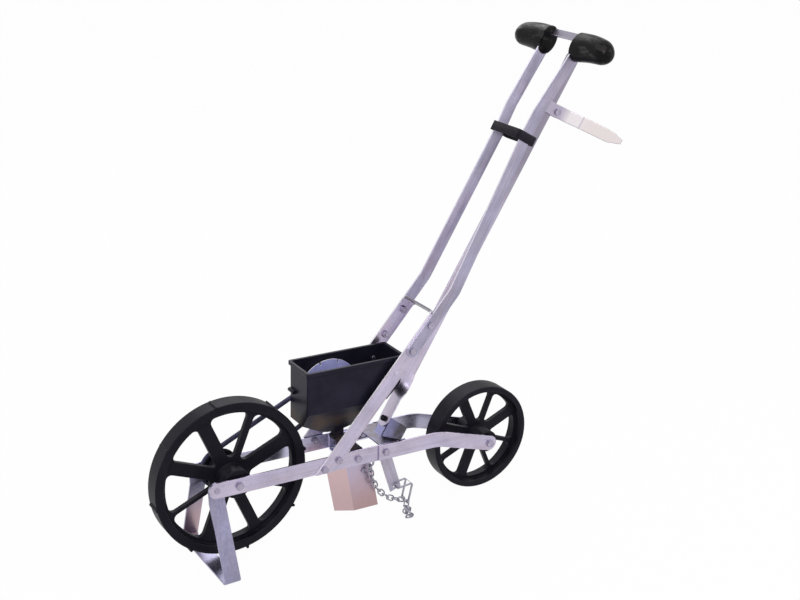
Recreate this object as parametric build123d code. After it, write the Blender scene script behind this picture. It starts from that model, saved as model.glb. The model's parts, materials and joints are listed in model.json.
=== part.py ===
"""Walk-behind seed planter: one STEP file for each separate piece."""
import os
from math import asin, atan2, cos, degrees, hypot, radians, sin, tan

from build123d import *

# All sizes are in millimetres. X points forward, Y to the left, Z up.
# The machine is drawn with level rails, then tilted to its parked stance.

# bar stock
BAR_W = 31.75
BAR_T = 3.2
UPPER_W = 25.4
SHEET_T = 2.5

# clearances
FIT_GAP = 0.3
RUN_FIT = 0.06
HOLE_FIT = 0.2

# rails
RAIL_Z = 150.0
RAIL_IN = 46.8
FRONT_RAIL_BACK = -345.0
REAR_RAIL_FRONT = -301.0
REAR_RAIL_BEND_X = -442.0
REAR_RAIL_BEND_R = 120.0

# wheels
FRONT_R = 155.0
FRONT_W = 37.5
FRONT_RING = 17.0
FRONT_HUB_R = 29.0
FRONT_HUB_NEAR = 42.0
REAR_X = -569.0
REAR_Z = 113.0
REAR_R = 113.0
REAR_W = 43.0
REAR_RING = 12.0
REAR_HUB_R = 23.0
REAR_HUB_HALF = 45.0
AXLE_D = 9.5
SPACER_R = 8.5
SPOKE_PHASE = 24.0
SPOKE_WIDE = 25.0
SPOKE_THIN = 12.0
SPOKE_WIDTHS = (1, 0, 1, 1, 0, 1, 0, 0)
SPOKE_DEPTH = 14.0
WINDOW_R = 9.0
WINDOW_LEDGE = 1.0
RIM_SKIN = 4.5
RIM_FLOOR = 3.5
RIM_FACE = 4.0
CLEAT_W = 5.0
CLEAT_H = 1.8

# kickstand
STAND_X = 45.3
STAND_HEIGHT = 172.0
STAND_FOOT_HALF = 105.0
STAND_SPLAY_DROP = 25.0
STAND_BEND_R = 6.0
RIVET_D = 8.0
RIVET_HEAD_R = 5.6
RIVET_HEAD_T = 1.2

# fasteners
BOLT_D = 7.9
BOLT_AF = 12.7
HEAD_T = 4.6
NUT_T = 5.6
BOLT_TAIL = 1.5
AXLE_AF = 14.2
SCREW_D = 5.0
SCREW_HEAD_R = 5.0
SCREW_HEAD_T = 2.6

# rail bolt places
LEG_BOLT_A = (-179.0, 143.0)
LEG_BOLT_B = (-210.0, 156.5)
HANGER_BOLT = (-255.0, 148.0)
JOINT_BOLT = (-317.0, 150.0)

# lower handle, an inverted U of flat bar
LEG_ANGLE = 49.5
LEG_X = -173.7
LEG_Z = 126.4
LEG_TOP = 388.0
LEG_BEND_R = 9.0
HANDLE_BOLT_LOW = 302.0
HANDLE_BOLT_HIGH = 364.0

# upper handles
UPPER_BEND_AT = 446.0
UPPER_ANGLE = 61.4
UPPER_SECOND_AT = 385.0
UPPER_BEND_R = 40.0
STRAP_AT = 330.0
STRAP_Y = 42.6
TOP_Y = 52.0
GRIP_X = -737.7
GRIP_Z = 931.6
GRIP_IN = 45.0
GRIP_OUT = 148.0
GRIP_CORE_OUT = 128.0
GRIP_BEND_R = 12.0
GRIP_OVERRUN = 0.25
GRIP_R = 27.0
GRIP_AHEAD = 2.0
# share of the grip's length, then height, depth and drop as shares of GRIP_R
GRIP_SECTIONS = (
    (0.0, 1.02, 0.66, 0.30),
    (0.06, 1.10, 0.74, 0.31),
    (0.30, 1.05, 0.76, 0.24),
    (0.60, 0.99, 0.76, 0.18),
    (0.86, 0.94, 0.74, 0.19),
    (0.97, 0.76, 0.60, 0.19),
    (1.0, 0.50, 0.40, 0.19),
)
CROSS_W = 16.0
CROSS_T = 2.0
CROSS_HALF = 86.0
CROSS_LIP = 6.0
STRAP_W = 19.0
STRAP_T = 2.0
STRAP_FRONT = 20.0
STRAP_REAR = 24.5
STRAP_CORNER_R = 5.0

# hopper
HOP_FRONT = -149.0
HOP_REAR = -361.0
HOP_REAR_LOW = -354.0
HOP_RIM_Z = 344.0
HOP_FLOOR_Z = 257.0
HOP_CORNER_R = 30.0
HOP_HALF = 38.6
HOP_WALL = 2.6
HOP_EDGE_R = 5.5
RIM_OUT = 3.0
RIM_H = 7.0
RIM_CORNER_R = 5.0
WELL_R = 78.0
RAMP_TILT = 31.0
WELL_FAR = 34.5
WELL_NEAR = 6.0
WELL_TOP_Z = 305.0
WELL_JOIN = 8.0
LUG_R = 4.0
LUG_OUT = 7.0
LUG_Y = -23.0
LUG_L = 20.0
LUG_Z = 287.0
HOP_SCREW_UP = 249.0
SPOUT_X = -246.0
SPOUT_L = 22.0
SPOUT_W = 14.0
SPOUT_LOW_Z = 170.0
CHUTE_WALL = 1.8
CHUTE_X = -279.0
CHUTE_MID_Z = 146.0
CHUTE_LOW_Z = 112.0
CHUTE_LAP = 6.0
CHUTE_TAPER_X = 6.0
CHUTE_TAPER_Y = 4.0

# seed drive
PLATE_X = -231.0
PLATE_Z = 268.0
PLATE_R = 66.0
PLATE_T = 2.4
PLATE_NOTCHES = 10
NOTCH_W = 3.0
NOTCH_DEPTH = 6.5
SHAFT_R = 4.0
SHAFT_END = 6.0
COLLAR_R = 9.6
COLLAR_T = 4.0
BOSS_R = 12.0
DRIVE_PULLEY_R = 33.0
DRIVEN_PULLEY_R = 26.0
PULLEY_LIP = 4.4
PULLEY_FAR = 43.0
PULLEY_W = 8.0
BELT_W = 5.0
BELT_H = 6.5

# furrow opener
SHOE_NOSE_X = -211.0
SHOE_CREASE_X = -245.0
SHOE_REAR_X = -300.0
SHOE_HALF = 18.0
SHOE_T = 1.8
SHOE_TOP_Z = 124.0
SHOE_LOW_Z = 15.5
SHOE_RAKE = 11.5
SHOE_DROP = 45.0
DEPTH_BOLT_X = -287.0
DEPTH_BOLT_Z = 101.0
DEPTH_BOLT_D = 6.0
DEPTH_HEAD_T = 3.2
DEPTH_NUT_AF = 10.0
DEPTH_NUT_T = 4.8
GUIDE_FRONT = -242.0
GUIDE_LEG_FRONT = -273.0
GUIDE_REAR = -303.5
GUIDE_WEB_Z = 129.0
GUIDE_LOW_Z = 42.0
GUIDE_BEND_R = 4.0

# row marker
ARM_X = -344.1
ARM_Z = 195.5
ARM_ANGLE = 59.33
ARM_FLAT = 50.0
ARM_TWIST = 56.0
ARM_SHORT = 20.0
TWIST_STEPS = 4
PIVOT_D = 7.9
PIVOT_HEAD_R = 6.0
PIVOT_HEAD_T = 5.0
BRACKET_FRONT = -305.0
BRACKET_SHELF_Z = 164.5
BRACKET_TOP = 8.0
BRACKET_FLAT = 13.0
BRACKET_BACK = 25.0
BRACKET_BEND_R = 6.0
BRACKET_TAB = 60.0
BRACKET_TAB_UP = 4.0
BLADE_BELOW_TOP = 109.0
BLADE_W = 26.0
BLADE_T = 2.0
BLADE_BOLT_BACK = 26.0
BLADE_BOLT_D = 6.0
BLADE_HEAD_R = 6.5
BLADE_HEAD_T = 3.2
BLADE_NUT_AF = 10.0
BLADE_NUT_T = 4.6
BLADE_EDGE = 9.0
BLADE_FOLD_R = 1.4
BLADE_CANT = 5.4
BLADE_STEP = 9.0
BLADE_BEND_A = 58.0
BLADE_BEND_B = 90.0
BLADE_TIP = 198.0
BLADE_LIFT = 20.0
BLADE_TAPER = 32.0
BLADE_BLUNT = 5.0

# drag chain
HANGER_W = 25.4
HANGER_LEAN = 18.0
HANGER_DOWN = 98.0
HANGER_HOLE_UP = 7.0
HANGER_HOLE_R = 3.6
HOOK_SEAT = 1.3
HOOK_BACK = 35.0
HOOK_RISE = 3.5
HOOK_DROP = 43.0
HOOK_FORWARD = 9.0
HOOK_BEND_R = 3.0
EYE_X = -295.0
EYE_Y = 31.0
LINK_WIRE = 3.0
LINK_IN_W = 7.4
HOOK_IN_W = 21.6
LINK_PITCH = 13.5
LINK_PLAY = 0.8
TAIL_LINKS = 2
LINK_SIDE = 6.8
LINK_REST = 1.8
LINK_SWING = 2.6
# points of the sag as shares of the way back from the eye and down to the hook
SAG_SHARES = ((0.09, 0.40), (0.34, 0.73), (0.70, 0.94))
EYE_RING_R = 6.5
EYE_WIRE_R = 2.0
EYE_SHANK_R = 2.5
EYE_NUT_R = 5.0
EYE_NUT_T = 4.0
EYE_REST = 2.4

# faces across the machine, from the middle outward
RAIL_OUT = RAIL_IN + BAR_T
LEG_OUT = RAIL_OUT + BAR_T
UPPER_OUT = LEG_OUT + BAR_T
STAND_OUT = RAIL_IN - FIT_GAP
RAIL_LOW = RAIL_Z - BAR_W / 2
PULLEY_NEAR = PULLEY_FAR - PULLEY_W
BELT_Y = -(PULLEY_FAR + PULLEY_NEAR) / 2
GROOVE_W = BELT_W + 2 * FIT_GAP
WELL_MID = -(WELL_FAR + WELL_NEAR) / 2
PLATE_FAR = -WELL_FAR + HOP_WALL + FIT_GAP
ARM_LENGTH = hypot(GRIP_X - ARM_X, GRIP_Z - ARM_Z) - ARM_SHORT
BLADE_AT = ARM_LENGTH - BLADE_BELOW_TOP
BLADE_FACE = BAR_T / 2 + FIT_GAP + BLADE_T
HANGER_Y = RAIL_IN - SHEET_T - BAR_T / 2

# parked stance: the stand foot and the rear wheel both touch the ground
STANCE_X = STAND_X - REAR_X
STANCE_Z = RAIL_Z - REAR_Z
STANCE_RISE = STAND_HEIGHT - REAR_R
PARK_TILT = degrees(asin(STANCE_RISE / hypot(STANCE_X, STANCE_Z)) - atan2(STANCE_Z, STANCE_X))


def side(sketch, y0, y1):
    """Solid between two planes across the machine from a side-view sketch."""
    return Pos(0, (y0 + y1) / 2, 0) * extrude(Plane.XZ * sketch, amount=(y1 - y0) / 2, both=True)


def rod(x, z, radius, y0, y1):
    return side(Pos(x, z) * Circle(radius), y0, y1)


def hexagon(x, z, across, y0, y1):
    return side(Pos(x, z) * RegularPolygon(across / 2, 6, major_radius=False), y0, y1)


def block(x0, x1, y0, y1, z0, z1):
    size = Box(x1 - x0, y1 - y0, z1 - z0)
    return Pos((x0 + x1) / 2, (y0 + y1) / 2, (z0 + z1) / 2) * size


def strip(points, width, radius):
    """Flat shape of one width along a line of points with rounded corners."""
    return trace(FilletPolyline(*points, radius=radius), line_width=width)


def right_hand(part):
    return mirror(part, about=Plane.XZ)


def slope_plane(x, z, angle):
    """Plane with x to the left and y up a slope that leans to the rear."""
    lean = radians(angle)
    return Plane(origin=(x, 0, z), x_dir=(0, 1, 0), z_dir=(sin(lean), 0, cos(lean)))


def up_slope(x, z, angle, along, forward=0.0):
    """Side-view point a distance up a rearward slope and square to it."""
    lean = radians(angle)
    px = x - along * cos(lean) + forward * sin(lean)
    pz = z + along * sin(lean) + forward * cos(lean)
    return px, pz


def leg_point(along, forward=0.0):
    return up_slope(LEG_X, LEG_Z, LEG_ANGLE, along, forward)


UPPER_BEND = leg_point(UPPER_BEND_AT)


def upper_point(along, forward=0.0):
    return up_slope(UPPER_BEND[0], UPPER_BEND[1], UPPER_ANGLE, along, forward)


UPPER_PLANE = slope_plane(UPPER_BEND[0], UPPER_BEND[1], UPPER_ANGLE)
ARM_PLANE = slope_plane(ARM_X, ARM_Z, ARM_ANGLE)
GRIP_SPOT = UPPER_PLANE.to_local_coords(Vector(GRIP_X, 0, GRIP_Z))
GRIP_UP = GRIP_SPOT.Y
GRIP_FWD = GRIP_SPOT.Z


def front_rail():
    length = STAND_X - FRONT_RAIL_BACK
    outline = Pos((STAND_X + FRONT_RAIL_BACK) / 2, RAIL_Z) * Rectangle(length, BAR_W)
    outline += Pos(STAND_X, RAIL_Z) * Circle(BAR_W / 2)
    for x, z in (LEG_BOLT_A, LEG_BOLT_B, HANGER_BOLT, JOINT_BOLT):
        outline -= Pos(x, z) * Circle(BOLT_D / 2 + HOLE_FIT)
    outline -= Pos(0, RAIL_Z) * Circle(AXLE_D / 2)
    outline -= Pos(STAND_X, RAIL_Z) * Circle(RIVET_D / 2)
    return side(outline, RAIL_IN, RAIL_OUT)


def rear_rail():
    points = [(REAR_RAIL_FRONT, RAIL_Z), (REAR_RAIL_BEND_X, RAIL_Z), (REAR_X, REAR_Z)]
    outline = strip(points, BAR_W, REAR_RAIL_BEND_R)
    outline += Pos(REAR_X, REAR_Z) * Circle(BAR_W / 2)
    outline -= Pos(*JOINT_BOLT) * Circle(BOLT_D / 2 + HOLE_FIT)
    outline -= Pos(REAR_X, REAR_Z) * Circle(AXLE_D / 2)
    return side(outline, RAIL_OUT, LEG_OUT)


def lower_handle():
    middle = (RAIL_OUT + LEG_OUT) / 2
    start = -BAR_W
    points = [(-middle, start), (-middle, LEG_TOP), (middle, LEG_TOP), (middle, start)]
    plane = slope_plane(LEG_X, LEG_Z, LEG_ANGLE)
    body = extrude(plane * strip(points, BAR_T, LEG_BEND_R), amount=BAR_W / 2, both=True)
    body -= block(LEG_X - LEG_TOP, LEG_X + LEG_TOP, -LEG_TOP, LEG_TOP, RAIL_LOW - LEG_TOP, RAIL_LOW)
    places = [LEG_BOLT_A, LEG_BOLT_B, leg_point(HANDLE_BOLT_LOW), leg_point(HANDLE_BOLT_HIGH)]
    for x, z in places:
        body -= rod(x, z, BOLT_D / 2 + HOLE_FIT, -LEG_OUT, LEG_OUT)
    x, z = leg_point(HOP_SCREW_UP)
    return body - rod(x, z, SCREW_D / 2 + HOLE_FIT, -LEG_OUT, LEG_OUT)


def upper_handle():
    low = leg_point(HANDLE_BOLT_LOW)
    second = upper_point(UPPER_SECOND_AT)
    top_x = GRIP_X + GRIP_OVERRUN * (GRIP_X - second[0])
    top_z = GRIP_Z + GRIP_OVERRUN * (GRIP_Z - second[1])
    outline = strip([low, UPPER_BEND, second, (top_x, top_z)], UPPER_W, UPPER_BEND_R)
    outline += Pos(*low) * Circle(UPPER_W / 2)
    outline -= Pos(*low) * Circle(BOLT_D / 2 + HOLE_FIT)
    outline -= Pos(*leg_point(HANDLE_BOLT_HIGH)) * Circle(BOLT_D / 2 + HOLE_FIT)
    middle = (LEG_OUT + UPPER_OUT) / 2
    bends = [(middle, -LEG_TOP), (middle, 0), (STRAP_Y, STRAP_AT)]
    bends += [(TOP_Y, GRIP_UP), (GRIP_CORE_OUT, GRIP_UP)]
    edge_view = UPPER_PLANE * strip(bends, BAR_T, GRIP_BEND_R)
    return side(outline, 0, GRIP_OUT) & extrude(edge_view, amount=2 * GRIP_OUT, both=True)


def handle_crossbar():
    """Light angle strip that lies on the bent handle ends inside both grips."""
    low = GRIP_UP + BAR_T / 2
    web = Pos(0, low + CROSS_W / 2, GRIP_FWD) * Box(2 * CROSS_HALF, CROSS_W, CROSS_T)
    lip = Pos(0, low + CROSS_T / 2, GRIP_FWD + CROSS_LIP / 2) * Box(2 * CROSS_HALF, CROSS_T, CROSS_LIP)
    return UPPER_PLANE * (web + lip)


def grip():
    """Plump hand grip with a blunt outer end and a deeper inner end."""
    rings = []
    for share, tall, deep, drop in GRIP_SECTIONS:
        y = GRIP_IN + share * (GRIP_OUT - GRIP_IN)
        spot = (y, GRIP_UP - drop * GRIP_R, GRIP_FWD + GRIP_AHEAD)
        middle = UPPER_PLANE.from_local_coords(spot)
        plane = Plane(origin=middle, x_dir=UPPER_PLANE.y_dir, z_dir=(0, 1, 0))
        rings.append(plane * Ellipse(tall * GRIP_R, deep * GRIP_R))
    body = loft(rings)
    return body - upper_handle() - handle_crossbar()


def handle_strap():
    """Loose band round both upper handles, held by their outer faces."""
    plane = Plane(
        origin=UPPER_PLANE.from_local_coords((0, STRAP_AT, (STRAP_FRONT - STRAP_REAR) / 2)),
        x_dir=(0, 1, 0),
        z_dir=-UPPER_PLANE.y_dir,
    )
    wide = 2 * STRAP_Y + BAR_T + FIT_GAP
    deep = STRAP_FRONT + STRAP_REAR
    band = RectangleRounded(wide + 2 * STRAP_T, deep + 2 * STRAP_T, STRAP_CORNER_R)
    band -= RectangleRounded(wide, deep, STRAP_CORNER_R - STRAP_T)
    body = extrude(plane * band, amount=STRAP_W / 2, both=True)
    left = upper_handle()
    return body - left - right_hand(left)


def hopper_form(inset):
    """Hopper volume drawn in from its outside by one inset."""
    top = HOP_RIM_Z + 4 * inset
    points = [
        (HOP_FRONT - inset, top),
        (HOP_REAR + inset, top),
        (HOP_REAR_LOW + inset, HOP_FLOOR_Z + HOP_CORNER_R),
        (HOP_REAR_LOW + HOP_CORNER_R, HOP_FLOOR_Z + inset),
        (HOP_FRONT - inset, HOP_FLOOR_Z + inset),
    ]
    half = HOP_HALF - inset
    far = WELL_FAR - inset
    tub = side(Polygon(*points, align=None), -half, half)
    tub -= block(HOP_REAR, HOP_FRONT, -HOP_HALF, -far, 0, WELL_TOP_Z + inset)
    tub += hopper_belly(inset)
    plan = RectangleRounded(HOP_FRONT - HOP_REAR - 2 * inset, 2 * half, HOP_EDGE_R - inset)
    plan = Pos((HOP_FRONT + HOP_REAR) / 2, 0) * plan
    return tub & extrude(plan, amount=2 * HOP_RIM_Z)


def well_outline(inset):
    """Side view of the well: round under the plate, with a ramp up to the front wall."""
    front = HOP_FRONT - inset
    round_part = CenterArc((PLATE_X, PLATE_Z), WELL_R - inset, 180, 90 + RAMP_TILT)
    foot = round_part @ 1
    ramp_top = foot.Y + (front - foot.X) * tan(radians(RAMP_TILT))
    rest = Polyline(foot, (front, ramp_top), (front, PLATE_Z), round_part @ 0)
    return make_face([round_part, *rest.edges()])


def hopper_belly(inset):
    """Well under the hopper floor whose near side slopes down to the plate."""
    far = WELL_FAR - inset
    low = PLATE_Z - WELL_R
    rise = HOP_FLOOR_Z - low
    slide = inset * hypot(HOP_HALF + WELL_NEAR, rise) / rise
    points = [
        (-far, low),
        (-WELL_NEAR - slide, low),
        (HOP_HALF - slide, HOP_FLOOR_Z),
        (HOP_HALF - slide, HOP_FLOOR_Z + WELL_JOIN),
        (-far, HOP_FLOOR_Z + WELL_JOIN),
    ]
    keep = extrude(Plane.YZ * Polygon(*points, align=None), amount=2 * WELL_R, both=True)
    return side(well_outline(inset), -far, HOP_HALF) & Pos(PLATE_X, 0, 0) * keep


def spout(wider):
    x0 = SPOUT_X - SPOUT_L / 2 - wider
    x1 = SPOUT_X + SPOUT_L / 2 + wider
    y0 = WELL_MID - SPOUT_W / 2 - wider
    y1 = WELL_MID + SPOUT_W / 2 + wider
    return block(x0, x1, y0, y1, SPOUT_LOW_Z, PLATE_Z - WELL_R + WELL_JOIN)


def hopper_lug():
    """Small round-nosed lug on the front wall."""
    nose = HOP_FRONT + LUG_OUT - LUG_R
    y0 = LUG_Y - LUG_L / 2
    y1 = LUG_Y + LUG_L / 2
    stem = block(HOP_FRONT - HOP_WALL / 2, nose, y0, y1, LUG_Z - LUG_R, LUG_Z + LUG_R)
    return stem + rod(nose, LUG_Z, LUG_R, y0, y1)


def hopper():
    body = hopper_form(0)
    length = HOP_FRONT - HOP_REAR + 2 * RIM_OUT
    rim = RectangleRounded(length, 2 * (HOP_HALF + RIM_OUT), RIM_CORNER_R)
    rim = Pos((HOP_FRONT + HOP_REAR) / 2, 0) * rim
    body += Pos(0, 0, HOP_RIM_Z - RIM_H) * extrude(rim, amount=RIM_H)
    body += hopper_lug()
    body += spout(0) - rod(PLATE_X, PLATE_Z, WELL_R - HOP_WALL, -WELL_FAR, 0)
    body -= hopper_form(HOP_WALL)
    body -= spout(-HOP_WALL)
    body += rod(PLATE_X, PLATE_Z, BOSS_R, -WELL_FAR, -WELL_FAR + HOP_WALL)
    body -= rod(PLATE_X, PLATE_Z, SHAFT_R + RUN_FIT, -HOP_HALF, 0)
    x, z = leg_point(HOP_SCREW_UP)
    return body - rod(x, z, SCREW_D / 2 + HOLE_FIT, -LEG_OUT, LEG_OUT)


def chute_tube(grow):
    """Bent tube between the spout and the opener, grown outward from its bore."""
    wide = SPOUT_L + 2 * HOLE_FIT + 2 * grow
    deep = SPOUT_W + 2 * HOLE_FIT + 2 * grow
    upper = Rectangle(wide, deep)
    lower = Rectangle(wide - CHUTE_TAPER_X, deep - CHUTE_TAPER_Y)
    ends = [
        Pos(SPOUT_X, WELL_MID, SPOUT_LOW_Z + CHUTE_LAP) * upper,
        Pos(SPOUT_X, WELL_MID, SPOUT_LOW_Z - CHUTE_WALL) * upper,
        Pos(CHUTE_X, 0, CHUTE_MID_Z) * lower,
        Pos(CHUTE_X, 0, CHUTE_LOW_Z) * lower,
    ]
    return loft(ends, ruled=True)


def seed_chute():
    """Tube from the hopper spout down into the furrow opener."""
    return chute_tube(CHUTE_WALL) - chute_tube(0)


def spoke_angle(turn):
    return 180 - SPOKE_PHASE - 360 / len(SPOKE_WIDTHS) * turn


def wheel_windows(inner, hub_r, size):
    """Openings between the spokes, rounded where they meet the rim."""
    openings = Circle(inner) - Circle(hub_r)
    for turn, wide in enumerate(SPOKE_WIDTHS):
        across = size * (SPOKE_WIDE if wide else SPOKE_THIN)
        arm = Pos(inner / 2, 0) * Rectangle(inner + RIM_FLOOR, across)
        openings -= Rot(0, 0, spoke_angle(turn)) * arm
    corners = [spot for spot in openings.vertices() if hypot(spot.X, spot.Y) > (inner + hub_r) / 2]
    return fillet(corners, WINDOW_R * size)


def spoked_wheel(radius, width, ring, hub_r, hub_near, hub_far):
    """Moulded wheel with a channel rim, wide and thin spokes and a long hub."""
    inner = radius - ring
    body = side(Circle(radius) - Circle(inner), -width / 2, width / 2)
    channel = Circle(radius - RIM_SKIN) - Circle(inner + RIM_FLOOR)
    body -= side(channel, -width / 2, width / 2 - RIM_FACE)
    size = (radius / FRONT_R) ** 0.5
    web = Circle(inner + RIM_FLOOR / 2) - wheel_windows(inner - WINDOW_LEDGE, hub_r, size)
    body += side(web, -SPOKE_DEPTH / 2, SPOKE_DEPTH / 2)
    body += rod(0, 0, hub_r, -hub_far, hub_near)
    return body - rod(0, 0, AXLE_D / 2 + RUN_FIT, -hub_far, hub_near)


def front_wheel():
    body = spoked_wheel(FRONT_R, FRONT_W, FRONT_RING, FRONT_HUB_R, FRONT_HUB_NEAR, PULLEY_NEAR)
    for turn in range(len(SPOKE_WIDTHS)):
        cleat = Pos(FRONT_R, 0) * Rectangle(2 * CLEAT_H, CLEAT_W)
        cleat = Rot(0, 0, spoke_angle(turn)) * cleat
        body += side(cleat, CLEAT_H - FRONT_W / 2, FRONT_W / 2 - CLEAT_H)
    return Pos(0, 0, RAIL_Z) * body


def rear_wheel():
    body = spoked_wheel(REAR_R, REAR_W, REAR_RING, REAR_HUB_R, REAR_HUB_HALF, REAR_HUB_HALF)
    return Pos(REAR_X, 0, REAR_Z) * body


def pulley(x, z, radius, bore):
    """Grooved pulley on the right side of the machine."""
    lip = (PULLEY_W - GROOVE_W) / 2
    body = rod(x, z, radius, -PULLEY_FAR, -PULLEY_NEAR)
    body += rod(x, z, radius + PULLEY_LIP, -PULLEY_FAR, -PULLEY_FAR + lip)
    body += rod(x, z, radius + PULLEY_LIP, -PULLEY_NEAR - lip, -PULLEY_NEAR)
    return body - rod(x, z, bore, -PULLEY_FAR, -PULLEY_NEAR)


def drive_pulley():
    return pulley(0, RAIL_Z, DRIVE_PULLEY_R, AXLE_D / 2 + RUN_FIT)


def driven_pulley():
    return pulley(PLATE_X, PLATE_Z, DRIVEN_PULLEY_R, SHAFT_R)


def plate_shaft():
    """Short shaft with a collar that holds the seed plate inside the hopper."""
    face = PLATE_FAR + PLATE_T
    body = rod(PLATE_X, PLATE_Z, SHAFT_R, -PULLEY_FAR, face + SHAFT_END)
    return body + rod(PLATE_X, PLATE_Z, COLLAR_R, face, face + COLLAR_T)


def seed_plate():
    outline = Circle(PLATE_R) - Circle(SHAFT_R)
    for turn in range(PLATE_NOTCHES):
        notch = Pos(PLATE_R, 0) * Rectangle(2 * NOTCH_DEPTH, NOTCH_W)
        outline -= Rot(0, 0, 360 / PLATE_NOTCHES * turn) * notch
    return side(Pos(PLATE_X, PLATE_Z) * outline, PLATE_FAR, PLATE_FAR + PLATE_T)


def belt_outline(extra):
    """Outline that wraps both pulleys at one distance outside their grooves."""
    r1 = DRIVE_PULLEY_R + extra
    r2 = DRIVEN_PULLEY_R + extra
    dx = PLATE_X
    dz = PLATE_Z - RAIL_Z
    span = hypot(dx, dz)
    turn = atan2(dz, dx)
    open_angle = asin((r1 - r2) / span)
    up = turn - radians(90) + open_angle
    down = turn + radians(90) - open_angle
    corners = [
        (r1 * cos(up), RAIL_Z + r1 * sin(up)),
        (dx + r2 * cos(up), PLATE_Z + r2 * sin(up)),
        (dx + r2 * cos(down), PLATE_Z + r2 * sin(down)),
        (r1 * cos(down), RAIL_Z + r1 * sin(down)),
    ]
    outline = Polygon(*corners, align=None)
    outline += Pos(0, RAIL_Z) * Circle(r1)
    outline += Pos(dx, PLATE_Z) * Circle(r2)
    return outline


def drive_belt():
    outline = belt_outline(FIT_GAP + BELT_H) - belt_outline(FIT_GAP)
    return side(outline, BELT_Y - BELT_W / 2, BELT_Y + BELT_W / 2)


def axle(x, z, face):
    """Axle bolt through both rails with a hex head on the left."""
    body = rod(x, z, AXLE_D / 2, -face - NUT_T - BOLT_TAIL, face)
    return body + hexagon(x, z, AXLE_AF, face, face + HEAD_T)


def axle_nuts():
    nuts = []
    for x, z, face in ((0, RAIL_Z, RAIL_OUT), (REAR_X, REAR_Z, LEG_OUT)):
        nut = hexagon(x, z, AXLE_AF, -face - NUT_T, -face)
        nuts.append(nut - rod(x, z, AXLE_D / 2, -face - NUT_T, -face))
    return Compound(nuts)


def axle_spacers():
    spans = [
        (0, RAIL_Z, FRONT_HUB_NEAR + FIT_GAP, RAIL_IN),
        (0, RAIL_Z, -RAIL_IN, -PULLEY_FAR - FIT_GAP),
        (REAR_X, REAR_Z, REAR_HUB_HALF + FIT_GAP, RAIL_OUT),
        (REAR_X, REAR_Z, -RAIL_OUT, -REAR_HUB_HALF - FIT_GAP),
    ]
    rings = []
    for x, z, y0, y1 in spans:
        ring = side(Pos(x, z) * (Circle(SPACER_R) - Circle(AXLE_D / 2)), y0, y1)
        rings.append(ring)
    return Compound(rings)


def rail_stack():
    """Bolt place, inner face and outer face for the left and right rail bolts."""
    bracket_in = RAIL_IN - SHEET_T
    left = [
        (LEG_BOLT_A, RAIL_IN, LEG_OUT),
        (LEG_BOLT_B, RAIL_IN, LEG_OUT),
        (HANGER_BOLT, RAIL_IN - BAR_T, RAIL_OUT),
        (JOINT_BOLT, bracket_in - BAR_T, LEG_OUT),
    ]
    right = left[:3] + [(JOINT_BOLT, bracket_in, LEG_OUT)]
    return left, right


def rail_bolts():
    left, right = rail_stack()
    bolts = []
    for stack, flip in ((left, False), (right, True)):
        for (x, z), inner, outer in stack:
            bolt = rod(x, z, BOLT_D / 2, inner - NUT_T - BOLT_TAIL, outer)
            bolt += hexagon(x, z, BOLT_AF, outer, outer + HEAD_T)
            bolts.append(right_hand(bolt) if flip else bolt)
    return Compound(bolts)


def rail_nuts():
    left, right = rail_stack()
    nuts = []
    for stack, flip in ((left, False), (right, True)):
        for (x, z), inner, _ in stack:
            nut = hexagon(x, z, BOLT_AF, inner - NUT_T, inner)
            nut -= rod(x, z, BOLT_D / 2, inner - NUT_T, inner)
            nuts.append(right_hand(nut) if flip else nut)
    return Compound(nuts)


def handle_bolts():
    bolts = []
    for along in (HANDLE_BOLT_LOW, HANDLE_BOLT_HIGH):
        x, z = leg_point(along)
        bolt = rod(x, z, BOLT_D / 2, RAIL_OUT - NUT_T - BOLT_TAIL, UPPER_OUT)
        bolt += rod(x, z, AXLE_AF / 2, UPPER_OUT, UPPER_OUT + SCREW_HEAD_T)
        bolts += [bolt, right_hand(bolt)]
    return Compound(bolts)


def handle_nuts():
    nuts = []
    for along in (HANDLE_BOLT_LOW, HANDLE_BOLT_HIGH):
        x, z = leg_point(along)
        nut = hexagon(x, z, BOLT_AF, RAIL_OUT - NUT_T, RAIL_OUT)
        nut -= rod(x, z, BOLT_D / 2, RAIL_OUT - NUT_T, RAIL_OUT)
        nuts += [nut, right_hand(nut)]
    return Compound(nuts)


def hopper_screws():
    x, z = leg_point(HOP_SCREW_UP)
    inside = HOP_HALF - HOP_WALL
    screw = rod(x, z, SCREW_D / 2, inside, LEG_OUT)
    screw += rod(x, z, SCREW_HEAD_R, inside - SCREW_HEAD_T, inside)
    screw += rod(x, z, SCREW_HEAD_R, LEG_OUT, LEG_OUT + SCREW_HEAD_T / 2)
    return Compound([screw, right_hand(screw)])


def hopper_spacers():
    x, z = leg_point(HOP_SCREW_UP)
    ring = side(Pos(x, z) * (Circle(SPACER_R) - Circle(SCREW_D / 2)), HOP_HALF, RAIL_OUT)
    return Compound([ring, right_hand(ring)])


def kickstand():
    """Wide splayed U of flat bar hung inside the front ends of the rails."""
    middle = STAND_OUT - BAR_T / 2
    foot = STAND_FOOT_HALF - BAR_T / 2
    low = -STAND_HEIGHT + BAR_T / 2
    half = [(foot, low), (middle, -STAND_SPLAY_DROP), (middle, BAR_W)]
    points = [(-y, z) for y, z in reversed(half)] + half
    body = extrude(Plane.YZ * strip(points, BAR_T, STAND_BEND_R), amount=BAR_W / 2, both=True)
    keep = Circle(BAR_W / 2) + Pos(0, -STAND_HEIGHT) * Rectangle(BAR_W, 2 * STAND_HEIGHT)
    body &= side(keep, -STAND_FOOT_HALF, STAND_FOOT_HALF)
    body -= rod(0, 0, RIVET_D / 2 + RUN_FIT, -STAND_OUT, STAND_OUT)
    return Pos(STAND_X, 0, RAIL_Z) * Rot(0, PARK_TILT, 0) * body


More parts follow.
